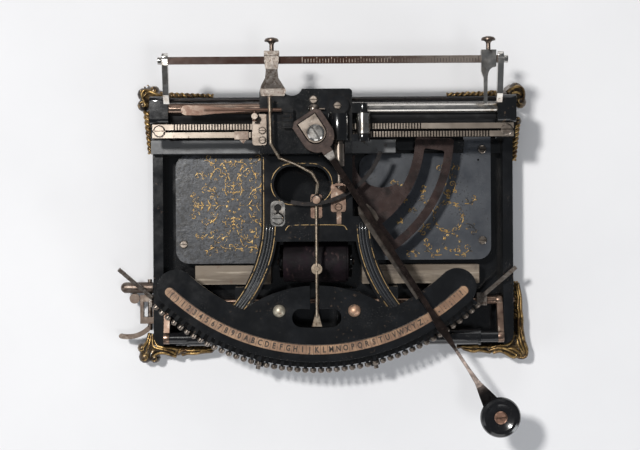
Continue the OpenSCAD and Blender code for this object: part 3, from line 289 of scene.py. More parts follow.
# %% Enamels and iron
SPINDLE = (-15.0, 74.4)
# A near-black laid into slots, gaps and corners as painted shade.
CREVICE_SHADE = (0.012, 0.010, 0.008)
finishes = {}
finishes["japanned_iron"] = finish(
    "japan_black", (0.0045, 0.0048, 0.0055),
    over=[((0.011, 0.012, 0.014), patches(45, 0.5, 0.8)),
          ((0.045, 0.042, 0.04), both(patches(900, 0.58, 0.66), patches(28, 0.52, 0.62))),
          ((0.075, 0.052, 0.036), both(patches(300, 0.6, 0.68), patches(24, 0.54, 0.62))),
          ((0.022, 0.019, 0.016), both(crevices(5), patches(500, 0.35, 0.6)))],
    rough=(0.09, 0.22, 70), bump=[(420, 0.12, 0.12), (2600, 0.1, 0.03)], coat=0.3)
# The deck enamels, like the metals below, take near-black painted shade in their slots and corners.
finishes["deck_enamel"] = finish(
    "bloomed_enamel", (0.029, 0.033, 0.041),
    over=[((0.066, 0.071, 0.081), patches(20, 0.42, 0.7)),
          ((0.008, 0.008, 0.009), both(patches(620, 0.58, 0.62), patches(30, 0.5, 0.6))),
          ((0.13, 0.14, 0.15), both(patches(1500, 0.6, 0.68), patches(50, 0.5, 0.6))),
          (CREVICE_SHADE, crevices(4))],
    rough=(0.28, 0.48, 60), bump=[(620, 0.25, 0.1), (160, 0.2, 0.2)], coat=0.1)
finishes["pitted_enamel"] = finish(
    "pitted_enamel", (0.021, 0.0235, 0.03),
    over=[((0.05, 0.054, 0.065), patches(24, 0.42, 0.68)),
          ((0.005, 0.005, 0.006), both(patches(380, 0.52, 0.545), patches(26, 0.34, 0.48))),
          ((0.006, 0.006, 0.007), both(patches(240, 0.52, 0.56), along("X", -105, -135))),
          ((0.13, 0.135, 0.14), both(patches(1200, 0.58, 0.66), patches(50, 0.48, 0.6))),
          (CREVICE_SHADE, crevices(4))],
    rough=(0.3, 0.5, 60), bump=[(330, 0.5, 0.2), (160, 0.2, 0.2)], coat=0.1)
finishes["rail_iron"] = finish(
    "planed_iron", (0.12, 0.122, 0.125),
    over=[((0.07, 0.07, 0.072), patches(60, 0.5, 0.7, (0.3, 1, 1))),
          ((0.2, 0.195, 0.19), patches(900, 0.62, 0.7)),
          ((0.05, 0.04, 0.032), both(patches(200, 0.6, 0.68), patches(20, 0.5, 0.6)))],
    rough=(0.4, 0.6, 150), metal=0.2, bump=[(300, 0.3, 0.1, (0.08, 1, 1))])
finishes["blackened_steel"] = finish(
    "blackened_steel", (0.02, 0.018, 0.018),
    over=[((0.09, 0.062, 0.045), patches(500, 0.6, 0.72))],
    rough=(0.25, 0.45, 200), metal=0.8, bump=[(1200, 0.2, 0.05)])
print("enamels:", [m.name for m in finishes.values()])


# %% [markdown]
# ### Plated metals
# Nickel plate yellows and goes dull in the damp, and steel under it turns brown. Each has
# small dark pits where the plating has let go, and painted shade, near black, in every slot
# and gap, which is what makes the teeth of the racks and the slots of the screws stand out.

# %% Plated metals
finishes["nickel"] = finish(
    "tarnished_nickel", (0.25, 0.212, 0.18),
    over=[((0.16, 0.13, 0.108), patches(90, 0.42, 0.66)),
          ((0.4, 0.36, 0.32), patches(200, 0.6, 0.72)),
          ((0.1, 0.07, 0.052), both(patches(700, 0.56, 0.66), patches(80, 0.5, 0.6))),
          (CREVICE_SHADE, crevices(1.3))],
    rough=(0.24, 0.42, 160), metal=1.0, bump=[(700, 0.15, 0.06), (3000, 0.1, 0.03)])
finishes["rack_nickel"] = finish(
    "rack_nickel", (0.2, 0.168, 0.14),
    over=[((0.3, 0.26, 0.222), patches(60, 0.45, 0.65, (0.2, 1, 1))),
          ((0.08, 0.058, 0.045), both(patches(500, 0.58, 0.66), patches(40, 0.5, 0.6))),
          # Painted shade: a dark band just below the tops of the teeth, in the gaps between them.
          ((0.016, 0.012, 0.01), both(along("Z", 85.7, 85.2), along("Z", 84.2, 84.4)))],
    rough=(0.34, 0.46, 160), metal=0.9, bump=[(900, 0.15, 0.05, (0.1, 1, 1))])
finishes["bright_nickel"] = finish(
    "bright_nickel", (0.6, 0.575, 0.54),
    over=[((0.36, 0.31, 0.265), patches(60, 0.5, 0.72)),
          ((0.16, 0.11, 0.085), both(patches(500, 0.58, 0.66), patches(60, 0.5, 0.6))),
          (CREVICE_SHADE, crevices(1.3))],
    rough=(0.12, 0.26, 160), metal=1.0, bump=[(900, 0.1, 0.05)])
finishes["tube_nickel"] = finish(
    "tube_nickel", (0.6, 0.575, 0.54),
    over=[((0.36, 0.28, 0.225), along("X", 60, -60)),
          ((0.19, 0.115, 0.085), both(along("X", 30, -90), patches(70, 0.36, 0.6, (0.35, 1, 1)))),
          ((0.24, 0.17, 0.1), both(along("X", 120, 146), patches(300, 0.4, 0.6)))],
    rough=(0.14, 0.26, 160), metal=1.0, bump=[(900, 0.1, 0.04)])
finishes["browned_nickel"] = finish(
    "browned_nickel", (0.13, 0.1, 0.082),
    over=[((0.25, 0.21, 0.18), patches(110, 0.52, 0.68)),
          ((0.08, 0.05, 0.038), patches(300, 0.54, 0.68)),
          (CREVICE_SHADE, crevices(1.5))],
    rough=(0.28, 0.5, 160), metal=0.9, bump=[(700, 0.3, 0.08)])
finishes["coppery_nickel"] = finish(
    "coppery_nickel", (0.27, 0.185, 0.14),
    over=[((0.17, 0.105, 0.08), patches(100, 0.46, 0.66)),
          ((0.42, 0.35, 0.29), patches(160, 0.6, 0.72)),
          ((0.09, 0.055, 0.04), both(patches(500, 0.56, 0.66), patches(60, 0.5, 0.6))),
          (CREVICE_SHADE, crevices(1.3))],
    rough=(0.24, 0.42, 160), metal=0.95, bump=[(900, 0.2, 0.06)])
finishes["corroded_nickel"] = finish(
    "corroded_nickel", (0.17, 0.148, 0.13),
    over=[((0.31, 0.28, 0.255), patches(260, 0.52, 0.66)),
          ((0.1, 0.075, 0.06), patches(420, 0.5, 0.6)),
          (CREVICE_SHADE, crevices(1.5))],
    rough=(0.32, 0.55, 200), metal=0.8, bump=[(600, 0.6, 0.15), (1800, 0.3, 0.05)])
print("plated metals ready")


# %% [markdown]
# ### Steel, brass and copper
# The levers were blued or left bare, and have gone a purplish brown. The pointer lever is
# still bright at its neck and along its thin end, where fingers kept it clean, so its
# colours follow the distance from the spindle.

# %% Steel, brass and copper
# As on the nickel, near-black painted shade fills the slots and corners of steel, brass and copper.
finishes["bronzed_steel"] = finish(
    "browned_steel", (0.035, 0.024, 0.021),
    over=[((0.07, 0.047, 0.039), patches(110, 0.45, 0.72)),
          ((0.025, 0.018, 0.016), patches(300, 0.52, 0.68)),
          ((0.2, 0.14, 0.11), both(patches(900, 0.6, 0.7), patches(70, 0.5, 0.6))),
          (CREVICE_SHADE, crevices(1.5))],
    rough=(0.28, 0.48, 200), metal=0.7, bump=[(1100, 0.25, 0.06)])
finishes["sector_steel"] = finish(
    "sector_steel", (0.034, 0.021, 0.019),
    over=[((0.058, 0.036, 0.031), patches(40, 0.45, 0.72)),
          ((0.018, 0.013, 0.012), patches(90, 0.5, 0.68)),
          ((0.024, 0.017, 0.016), both(patches(900, 0.58, 0.66), patches(60, 0.48, 0.6)))],
    rough=(0.2, 0.32, 120), metal=0.3, bump=[(900, 0.15, 0.04)])
finishes["lever_steel"] = finish(
    "lever_steel", (0.021, 0.0145, 0.0125),
    over=[((0.05, 0.033, 0.028), patches(90, 0.48, 0.7)),
          ((0.62, 0.57, 0.52), both(around(*SPINDLE, 16.5, 18), around(*SPINDLE, 27, 24))),
          ((0.26, 0.21, 0.185), both(around(*SPINDLE, 218, 228), around(*SPINDLE, 268, 258),
                                     patches(120, 0.3, 0.6))),
          ((0.012, 0.01, 0.01), around(*SPINDLE, 262, 268)),
          ((0.18, 0.13, 0.11), both(patches(800, 0.6, 0.7), patches(60, 0.5, 0.6)))],
    rough=(0.22, 0.42, 200), metal=0.75, bump=[(1100, 0.2, 0.05)])
finishes["ruler_steel"] = finish(
    "ruler_steel", (0.034, 0.014, 0.009),
    over=[((0.052, 0.024, 0.015), patches(60, 0.45, 0.65, (0.25, 1, 1))),
          ((0.03, 0.02, 0.017), patches(240, 0.54, 0.68, (0.4, 1, 1))),
          ((0.2, 0.175, 0.155), both(along("X", 10, 130), patches(90, 0.25, 0.6, (0.3, 1, 1)))),
          ((0.3, 0.26, 0.23), both(patches(160, 0.6, 0.7, (0.3, 1, 1)), patches(30, 0.5, 0.6)))],
    rough=(0.17, 0.27, 120), metal=0.1, shine=0.2, bump=[(900, 0.15, 0.04)])
finishes["rusty_steel"] = finish(
    "rusty_steel", (0.085, 0.05, 0.036),
    over=[((0.24, 0.185, 0.15), both(patches(160, 0.45, 0.62), along("X", -100, -128))),
          ((0.09, 0.05, 0.036), patches(240, 0.5, 0.64))],
    rough=(0.3, 0.5, 160), metal=0.75, bump=[(900, 0.3, 0.08)])
finishes["brass"] = finish(
    "dull_brass", (0.33, 0.265, 0.2),
    over=[((0.5, 0.43, 0.34), patches(150, 0.5, 0.7)),
          ((0.15, 0.1, 0.07), patches(420, 0.56, 0.68)),
          (CREVICE_SHADE, crevices(1.3))],
    rough=(0.24, 0.42, 200), metal=1.0, bump=[(900, 0.15, 0.06)])
finishes["rubbed_brass"] = finish(
    "rubbed_brass", (0.5, 0.45, 0.36),
    over=[((0.55, 0.34, 0.23), along("X", 4, 10)),
          ((0.3, 0.22, 0.16), patches(200, 0.55, 0.68))],
    rough=(0.42, 0.55, 200), metal=0.8, bump=[(900, 0.15, 0.05)])
finishes["copper_screw"] = finish(
    "copper_screw", (0.36, 0.21, 0.15),
    over=[((0.2, 0.115, 0.08), patches(400, 0.5, 0.65)),
          (CREVICE_SHADE, crevices(1.3))],
    rough=(0.32, 0.48, 300), metal=0.9, bump=[(1500, 0.2, 0.05)])
print("steels, brass and copper ready")


# %% [markdown]
# ### Ebonite, rubber, card and wood
# These are the parts that fingers, ink and paper touch. The ink roll has soaked up purple
# ink for years, the letter strip has browned, and the wooden blocks never had varnish.

# %% Ebonite, rubber, card and wood
finishes["ebonite"] = finish(
    "turned_ebonite", (0.006, 0.006, 0.007),
    over=[((0.03, 0.028, 0.026), patches(500, 0.62, 0.72))],
    rough=(0.12, 0.28, 140), bump=[(500, 0.1, 0.05)], coat=0.2)
finishes["platen_rubber"] = finish(
    "hard_rubber", (0.010, 0.010, 0.011),
    over=[((0.03, 0.03, 0.032), patches(80, 0.55, 0.75))],
    rough=(0.4, 0.6, 100), bump=[(300, 0.2, 0.1, (0.2, 1, 1))])
finishes["ink_roll"] = finish(
    "inked_roll", (0.005, 0.0035, 0.0045),
    over=[((0.014, 0.007, 0.011), patches(60, 0.45, 0.68)),
          ((0.008, 0.005, 0.007), patches(90, 0.5, 0.7)),
          ((0.05, 0.03, 0.03), both(patches(300, 0.58, 0.64, (1, 0.3, 1)), patches(40, 0.5, 0.6)))],
    rough=(0.5, 0.8, 120), bump=[(1200, 0.6, 0.25), (120, 0.4, 0.5, (1, 0.4, 1))], shine=0.2)
finishes["index_card"] = finish(
    "browned_strip", (0.2, 0.113, 0.066),
    over=[((0.36, 0.22, 0.128), patches(60, 0.45, 0.65)),
          ((0.12, 0.065, 0.042), patches(110, 0.54, 0.7)),
          ((0.46, 0.37, 0.28), both(patches(500, 0.58, 0.68), patches(70, 0.5, 0.6)))],
    rough=(0.4, 0.6, 200), bump=[(900, 0.15, 0.04)])
finishes["beech"] = finish(
    "greyed_wood", (0.22, 0.178, 0.135),
    over=[((0.13, 0.1, 0.072), patches(120, 0.45, 0.6, (0.06, 1, 1))),
          ((0.4, 0.34, 0.27), patches(400, 0.55, 0.7, (0.05, 1, 1))),
          ((0.06, 0.045, 0.035), patches(30, 0.52, 0.7)),
          ((0.14, 0.065, 0.035), patches(45, 0.58, 0.68))],
    rough=(0.55, 0.75, 100), bump=[(500, 0.5, 0.2, (0.05, 1, 1))])
print("finishes in all:", len(finishes))


# %% [markdown]
# ## Dress the model's own nodes
# The record names a finish for every node. Some nodes differ from it, because use polished
# them or damp browned them: the long tube of the carriage is the brightest thing on the
# machine, and the levers at the left front are the dullest.

# %% Give every node its finish
OWN_FINISH = {
    "tube_nickel": ["pressing_tube"],
    "bright_nickel": ["guide_roller", "ruler_arms", "margin_stop", "swivel_screw", "keyhole_plate"],
    "rack_nickel": ["rear_rack", "front_rack"],
    "browned_nickel": ["pointer_thumbscrew", "margin_thumbscrew", "tab_clip", "left_lever", "fork_bracket",
                       "drum_shaft"],
    "coppery_nickel": ["bar_straps", "cross_shaft", "plunger_bracket", "selector_pivot"],
    "corroded_nickel": ["pointer_arm", "finger_bars"],
    "rubbed_brass": ["dome_nuts"],
    "pitted_enamel": ["left_deck_plate"],
    "ruler_steel": ["ruler"],
    "lever_steel": ["lever_arm"],
    "sector_steel": ["type_sector"],
    "rusty_steel": ["paddle_lever"]}
finish_of = {s["node"]: s["material_slot"] for s in frame["record"]["subparts"]}
for finish_name, group in OWN_FINISH.items():
    finish_of.update({name: finish_name for name in group})
for name, obj in nodes.items():
    mat = finishes[finish_of[name]]
    if not obj.material_slots:
        obj.data.materials.append(mat)
    for material_slot in obj.material_slots:
        material_slot.material = mat
print("nodes dressed:", len(nodes))


# %% [markdown]
# ### Soft edges
# No cast or stamped edge is a perfect corner. A bevel could be modelled on every piece, but
# a modifier does it without a change to the mesh. Its corners need joined faces, so a weld
# comes first.

# %% Soften the edges that catch the light
SOFT_EDGES = {"base_casting": 0.8, "lyre_frame": 0.7, "tower_frame": 0.5, "index_plate": 0.6,
              "carriage_end_left": 0.8, "carriage_end_right": 0.8, "hub_block": 0.5, "yoke": 0.4,
              "lever_arm": 0.4, "type_sector": 0.3, "wood_blocks": 0.5, "pointer_arm": 0.3,
              "margin_stop": 0.3, "ruler_arms": 0.4, "bar_straps": 0.4, "drum_brackets": 0.5,
              "rear_rail": 0.4, "left_deck_plate": 0.25, "right_deck_plate": 0.25}
SAME_POINT = 0.01
for name, width in SOFT_EDGES.items():
    join = nodes[name].modifiers.new("join", "WELD")
    join.merge_threshold = SAME_POINT * MM
    soften = nodes[name].modifiers.new("soften", "BEVEL")
    soften.width = width * MM
    soften.segments = 2
    soften.limit_method = "ANGLE"
    soften.angle_limit = math.radians(50)
print("nodes with soft edges:", len(SOFT_EDGES))


# %% [markdown]
# ## Raised lines
# Gold lines, cast ribs and scrolls are all strokes: a path with a thickness that swells
# and thins. A curve with a round bevel follows such a path with few points. It is then
# made a mesh, and for paint it is pressed almost flat onto the surface that carries it.

# %% From strokes to a piece
def evaluated_mesh(data):
    """The mesh that a curve or a text makes."""
    source = put(data.name + "_path", data)
    bpy.context.view_layer.update()
    state = bpy.context.evaluated_depsgraph_get()
    mesh = bpy.data.meshes.new_from_object(source.evaluated_get(state))
    bpy.data.objects.remove(source)
    return mesh


def strokes_to_piece(name, strokes, mat, body, press=None, sides=2):
    """strokes: (points in mm, radii in mm). press: (height in mm, share of the thickness kept)."""
    curve = bpy.data.curves.new(name, "CURVE")
    curve.dimensions = "3D"
    curve.bevel_depth = MM
    curve.bevel_resolution = sides
    curve.use_fill_caps = True
    curve.resolution_u = 3
    for points, radii in strokes:
        spline = curve.splines.new("NURBS")
        spline.points.add(len(points) - 1)
        for p, place, radius in zip(spline.points, points, radii):
            p.co = (place[0] * MM, place[1] * MM, place[2] * MM, 1)
            p.radius = radius
        spline.order_u = 3
        spline.use_endpoint_u = True
    mesh = evaluated_mesh(curve)
    if press:
        for v in mesh.vertices:
            v.co.z = press[0] * MM + (v.co.z - press[0] * MM) * press[1]
    mesh.materials.clear()
    mesh.materials.append(mat)
    mesh.shade_smooth()
    piece = put(name, mesh)
    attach(piece, body)
    print(name, "strokes:", len(strokes), "faces:", len(mesh.polygons))
    return piece


print("helpers: evaluated_mesh, strokes_to_piece")

# %% Forms of a stroke
VOLUTE_POINTS, LEAF_POINTS = 14, 5


def taper(n, thick, ends):
    """Radii that swell from a thin start to thick and thin out again."""
    return [thick * (ends + (1 - ends) * math.sin(math.pi * (i + 0.5) / n)) for i in range(n)]


def volute(cx, cy, z, size, start, turns, hand, thick):
    """A stroke that rolls inwards like the head of a fern."""
    points = []
    for i in range(VOLUTE_POINTS):
        t = i / (VOLUTE_POINTS - 1)
        a = math.radians(start + hand * 360 * turns * t)
        r = size * (1 - t) ** 0.75
        points.append((cx + r * math.cos(a), cy + r * math.sin(a), z))
    return points, [thick * (1 - 0.55 * i / VOLUTE_POINTS) for i in range(VOLUTE_POINTS)]


def leaf(x, y, z, angle, length, thick, bend=0.0):
    """A drop-shaped stroke from its stalk at x, y."""
    points = []
    for i in range(LEAF_POINTS):
        t = i / (LEAF_POINTS - 1)
        a = math.radians(angle + bend * t)
        points.append((x + length * t * math.cos(a), y + length * t * math.sin(a), z))
    return points, [0.25 * thick, 0.8 * thick, thick, 0.6 * thick, 0.08 * thick]


print("strokes: taper, volute, leaf")


# %% [markdown]
# ### Gilding
# The same gold was used three ways: as thick paint on the ridges of the feet, as thin
# coach lines on the lyre, and as leaf on the deck plates. All of it has rubbed away to
# the black or grey below, in spots a few millimetres wide that break up the strokes.

# %% Gilding
finishes["worn_gilt"] = finish(
    "worn_gilt", (0.27, 0.17, 0.065),
    over=[((0.55, 0.37, 0.15), patches(200, 0.5, 0.64)),
          ((0.09, 0.05, 0.025), patches(150, 0.5, 0.62)),
          ((0.014, 0.012, 0.011), patches(320, 0.6, 0.66)),
          # Painted shade: the gilding darkens in the hollows between its strokes.
          ((0.03, 0.018, 0.01), crevices(2.5))],
    rough=(0.22, 0.42, 200), metal=0.85, bump=[(700, 0.3, 0.08)])
finishes["foot_casting"] = finish(
    "foot_casting", (0.016, 0.012, 0.009),
    over=[((0.075, 0.048, 0.025), patches(80, 0.42, 0.6)),
          ((0.2, 0.13, 0.055), patches(170, 0.5, 0.6)),
          # Painted shade: near-black in the hollows of the casting.
          ((0.008, 0.007, 0.006), crevices(3))],
    rough=(0.2, 0.4, 120), metal=0.4, bump=[(500, 0.3, 0.12)], coat=0.1)
finishes["gold_line"] = finish(
    "gold_line", (0.3, 0.2, 0.09),
    over=[((0.45, 0.31, 0.14), patches(200, 0.5, 0.65)),
          ((0.012, 0.011, 0.010), patches(160, 0.53, 0.6))],
    rough=(0.35, 0.55, 200), metal=0.5)
finishes["gold_leaf"] = finish(
    "gold_leaf", (0.36, 0.215, 0.065),
    over=[((0.58, 0.4, 0.16), patches(250, 0.5, 0.65)),
          ((0.05, 0.054, 0.06), patches(420, 0.5, 0.54)),
          ((0.03, 0.03, 0.03), patches(90, 0.56, 0.64))],
    rough=(0.32, 0.5, 200), metal=0.45)
print("gilding ready")


# %% [markdown]
# ## Gold lines and ribs of the lyre
# A coach painter's lines follow the edges of the lyre casting, about two millimetres in.
# Between them the legs carry cast ribs. Both follow the same curve as the leg, so one
# function gives any line along it, from its outer edge (0) to its inner edge (1).

# %% Lines along the lyre
LYRE_TOP = 66.0
LEG_OUT, LEG_IN = 48.0, 33.5  # from the spindle to the edges of a leg
LEG_PULL, LEG_END, LEG_FLARE = -42.0, -80.0, 32.0
LEG_STEPS = 16
LINE_R, BAR_LINE_R, PRESSED = 0.42, 0.38, 0.35
WINDOW_MIDDLE = (SPINDLE[0] - 12.5, 32.4)
WINDOW_RUN, WINDOW_LINE = 8.8, 18.2  # half of its straight run, and the radius of its ends


def leg_line(share, side, top):
    """Straight to the front from Y = top, and then outwards along the flare."""
    x = LEG_OUT + (LEG_IN - LEG_OUT) * share
    straight = [top, top * 0.6, 12, 2] if top > 12 else [top]
    points = [(SPINDLE[0] + side * x, y, LYRE_TOP) for y in straight]
    start, pull, stop = (x, 0.0), (x, LEG_PULL - 3 * share), (x + LEG_FLARE, LEG_END - 3 * share)
    for i in range(LEG_STEPS):
        t = (i + 1) / LEG_STEPS
        px, py = ((1 - t) ** 2 * a + 2 * t * (1 - t) * b + t * t * c for a, b, c in zip(start, pull, stop))
        points.append((SPINDLE[0] + side * px, py, LYRE_TOP))
    return points


lines = []
for side in (-1, 1):
    for share, top in ((0.14, 56.0 if side < 0 else 0.0), (0.84, -4.0)):
        path = leg_line(share, side, top)
        lines.append((path, [LINE_R] * len(path)))
window = []
for end, first in ((1, -90), (-1, 90)):
    for a in range(first, first + 181, 15):
        window.append((WINDOW_MIDDLE[0] + WINDOW_RUN * end + WINDOW_LINE * math.cos(math.radians(a)),
                       WINDOW_MIDDLE[1] + WINDOW_LINE * math.sin(math.radians(a)), LYRE_TOP))
lines.append((window + window[:3], [LINE_R] * (len(window) + 3)))
bar = [(-42.0, -8.0, LYRE_TOP), (-40.5, -4.5, LYRE_TOP), (-36, -3.4, LYRE_TOP), (6, -3.4, LYRE_TOP),
       (10.5, -4.5, LYRE_TOP), (12.0, -8.0, LYRE_TOP)]
lines.append((bar, [BAR_LINE_R] * len(bar)))
gold_lines = strokes_to_piece("gold_lines", lines, finishes["gold_line"], "frame", press=(LYRE_TOP, PRESSED))

# %% Ribs between the lines
RIBS = ((0.33, 1.5), (0.52, 1.5), (0.69, 1.3))  # place across the leg, and radius
RIB_TOP, RIB_TIP = -2.0, 0.2
ribs = []
for side in (-1, 1):
    for share, thick in RIBS:
        path = leg_line(share, side, RIB_TOP)
        ribs.append((path, [RIB_TIP] + [thick] * (len(path) - 1)))
# The ribs share the lyre's japan black, painted lighter as painted sheen, as if they caught the light.
finishes["lightened_rib_enamel"] = finish(
    "lightened_rib_enamel", (0.014, 0.015, 0.017),
    over=[((0.05, 0.045, 0.04), both(patches(700, 0.56, 0.66), patches(40, 0.5, 0.6)))],
    rough=(0.2, 0.34, 90), bump=[(420, 0.15, 0.1)], coat=0.5)
lyre_ribs = strokes_to_piece("lyre_ribs", ribs, finishes["lightened_rib_enamel"], "frame", sides=3)


# %% [markdown]
# ## Gold scrollwork on the deck plates
# Machines of this age wore transfers of traditional scrollwork: ferns, leaves and dots in
# gold leaf. Three ornaments, a fern, a flame and a wreath, are built of curls and leaves
# and set in symmetrical groups. The finish then wears them through.

# %% Mirror images and ferns
DECK_TOP = 32.0
FERN_R = 0.4


def mirrored(strokes, axis_x):
    """The strokes, and again on the other side of a line from front to rear."""
    return strokes + [([(2 * axis_x - x, y, z) for x, y, z in points], radii) for points, radii in strokes]


def flipped(strokes, axis_y):
    """The strokes, and again on the other side of a line from left to right."""
    return strokes + [([(x, 2 * axis_y - y, z) for x, y, z in points], radii) for points, radii in strokes]


def fern(x, y, angle, size, hand):
    """A bent stem with a curl at its end, two side curls and leaves in the forks."""
    a = math.radians(angle)
    ahead, aside = (math.cos(a), math.sin(a)), (-hand * math.sin(a), hand * math.cos(a))

    def spot(t, off):
        return (x + size * (t * ahead[0] + off * aside[0]), y + size * (t * ahead[1] + off * aside[1]),
                DECK_TOP)

    stem = [spot(t, -0.16 * math.sin(math.pi * t)) for t in (0, 0.25, 0.5, 0.75, 1)]
    curl = volute(*spot(1.0, 0.28), size * 0.28, angle - 90 * hand, 1.35, hand, FERN_R * 1.2)
    strokes = [(stem, taper(5, FERN_R * 1.5, 0.5)), curl]
    for t, side in ((0.3, -1), (0.6, 1)):
        strokes.append(volute(*spot(t, -0.3 * side), size * 0.15, angle + 120 * side * hand, 1.1,
                              -side * hand, FERN_R))
        strokes.append(leaf(*spot(t, 0.0), angle - 40 * side * hand, size * 0.34, FERN_R * 2.0, 25 * side))
    strokes.append(leaf(*spot(0.95, 0.0), angle + 12 * hand, size * 0.4, FERN_R * 2.0, -30 * hand))
    return strokes


def ferns(middle, rows):
    """rows: x and y from the middle, angle, size, hand."""
    return [stroke for x, y, *form in rows for stroke in fern(middle[0] + x, middle[1] + y, *form)]


print("ornament: fern")

# %% Flames and wreaths
def flame(x, y, angle, length, thick=0.5):
    """A row of paired leaves on a straight stem, which ends in a drop."""
    a = math.radians(angle)
    strokes = [leaf(x, y, DECK_TOP, angle, length, thick)]
    for t in (0.15, 0.35, 0.55, 0.75):
        px, py = x + length * t * math.cos(a), y + length * t * math.sin(a)
        for side in (-1, 1):
            strokes.append(leaf(px, py, DECK_TOP, angle + 38 * side, length * 0.22 * (1.2 - t),
                                thick * 1.7, 20 * side))
    return strokes


def wreath(cx, cy, radius, count):
    """Pairs of leaves round a circle, with a curl in every second pair."""
    strokes = []
    for k in range(count):
        a = 360 * k / count
        x, y = cx + radius * math.cos(math.radians(a)), cy + radius * math.sin(math.radians(a))
        strokes += [leaf(x, y, DECK_TOP, a + 62, radius * 0.42, 0.75, 35),
                    leaf(x, y, DECK_TOP, a + 118, radius * 0.34, 0.6, 10)]
        if k % 2 == 0:
            strokes.append(volute(x, y, DECK_TOP, radius * 0.17, a, 1.1, 1, 0.4))
    return strokes


print("ornaments: flame, wreath")


# %% [markdown]
# ### Groups of ornaments
# Every curl could be placed by hand, but the left plate's ornament repeats itself, so one
# quarter of it is mirrored twice about the plate's middle. The right plate has two wreaths,
# one in front of the other, and single ferns beside and below the sector.

# %% Scrollwork of both plates
LEFT_MIDDLE, RIGHT_MIDDLE = (-89.5, 14.5), (104.0, 3.0)
LEAF_PRESSED = 0.12
LEFT_QUARTER = ((-14, 7, 135, 13, 1), (-20, 20, 75, 12, -1), (-24, 26, 160, 8, 1), (-6, 9, 95, 9, -1),
                (-3, 22, 130, 9, 1), (-12, 36, 20, 9, -1), (-13, 38, 165, 10, -1), (-30, 4, 150, 8, -1))
RIGHT_HALF = ((0, 19, 125, 11, -1), (-2, 34, 105, 11, 1), (-16, -6, 215, 10, 1), (-6, -34, 165, 12, -1),
              (-15, 12, 160, 9, -1))
NEAR_SECTOR = ((60, 30, 130, 7, 1), (68, 20, 200, 7, -1), (76, 8, 160, 6, 1), (64, 2, 220, 6, -1),
               (80, 24, 60, 6, 1), (78, -30, 170, 9, 1), (86, -24, 120, 6, -1))
cx, cy = LEFT_MIDDLE
gold = ferns(LEFT_MIDDLE, LEFT_QUARTER)
gold += [leaf(cx - 6, cy + 30, DECK_TOP, 100, 6, 0.7, 20), leaf(cx - 18, cy + 13, DECK_TOP, 190, 7, 0.7, -20)]
gold = flipped(mirrored(gold, cx), cy)
gold += mirrored(flame(cx - 8, cy, 180, 34, 0.6) + flame(cx - 30, cy, 150, 9) + flame(cx - 30, cy, 210, 9),
                 cx)
gold += flipped(flame(cx, cy + 8, 90, 16), cy) + wreath(cx, cy, 6, 8)
cx, cy = RIGHT_MIDDLE
gold += wreath(cx, cy, 13, 14) + wreath(cx + 3, cy - 23, 7.5, 10)
gold += mirrored(ferns(RIGHT_MIDDLE, RIGHT_HALF), cx)
gold += flame(cx - 4, cy + 30, 90, 18) + flame(cx, cy + 15, 90, 10) + flame(cx - 48, cy + 24, 40, 10)
gold += ferns((0, 0), NEAR_SECTOR)
scrollwork = strokes_to_piece("gold_scrollwork", gold, finishes["gold_leaf"], "frame",
                              press=(DECK_TOP, LEAF_PRESSED), sides=1)


# %% [markdown]
# ## Letters on the index
# The strip shows one character for each slot of the comb. A printed strip would be an
# image, so here each character is set as text, made a mesh, and then turned round the
# spindle by its own share of the arc. Its foot points away from the spindle, so that an
# operator in front can read it.

# %% Places on the strip
STRIP_R, STRIP_TOP = 187.3, 70.5


def on_strip(angle, lift):
    """The place on the strip at an angle round the spindle, 0 at the front."""
    return (Matrix.Translation((SPINDLE[0] * MM, SPINDLE[1] * MM, (STRIP_TOP + lift) * MM))
            @ Matrix.Rotation(math.radians(angle), 4, "Z") @ Matrix.Translation((0, -STRIP_R * MM, 0)))


def add_mark(mesh, place, width, length):
    """A flat bar, such as a division of a scale."""
    bmesh.ops.create_grid(mesh, x_segments=1, y_segments=1, size=0.5,
                          matrix=place @ Matrix.Diagonal((width * MM, length * MM, 1, 1)))


print("strip at radius:", STRIP_R, "height:", STRIP_TOP)

# %% Letters and divisions
LETTER_ANGLE = 1.93  # degrees from one letter to the next
LETTER_SIZE, INK_SPREAD, NARROWING = 7.2, 0.22, 0.78
DIVISION_W, DIVISION_L = 0.3, 7.4
INK_LIFT, DIVISION_LIFT = 0.03, 0.02
CHARACTERS = "()1234567890ABCDEFGHIJKLMNOPQRSTUVWXYZ.,-:;'?"
finishes["printing_ink"] = finish(
    "printing_ink", (0.012, 0.008, 0.006),
    over=[((0.2, 0.12, 0.08), patches(900, 0.62, 0.7))],
    rough=(0.5, 0.7, 200))
letters_mesh = bmesh.new()
for k, character in enumerate(CHARACTERS):
    text = bpy.data.curves.new("one_letter", "FONT")
    text.body = character
    text.size = LETTER_SIZE * MM
    text.offset = INK_SPREAD * MM
    text.align_x = "CENTER"
    text.align_y = "CENTER"
    text.resolution_u = 2
    flat = evaluated_mesh(text)
    place = on_strip((k - len(CHARACTERS) // 2) * LETTER_ANGLE, INK_LIFT)
    flat.transform(place @ Matrix.Diagonal((NARROWING, 1, 1, 1)))
    letters_mesh.from_mesh(flat)
    bpy.data.meshes.remove(flat)
for k in range(len(CHARACTERS) + 1):
    place = on_strip((k - len(CHARACTERS) / 2) * LETTER_ANGLE, DIVISION_LIFT)
    add_mark(letters_mesh, place, DIVISION_W, DIVISION_L)
letters_data = bpy.data.meshes.new("index_letters")
letters_mesh.to_mesh(letters_data)
letters_mesh.free()
letters_data.materials.append(finishes["printing_ink"])
index_letters = put("index_letters", letters_data)
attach(index_letters, "frame")
print("letters:", len(CHARACTERS), "faces:", len(letters_data.polygons))


# %% [markdown]
# ## Worn edge of the slot
# The slot for the letters has a bevelled edge that catches the light, and that light is
# painted on as a thin bright line on its inner side. A mask could paint it, but one fine
# stroke along the arc is simpler to place.

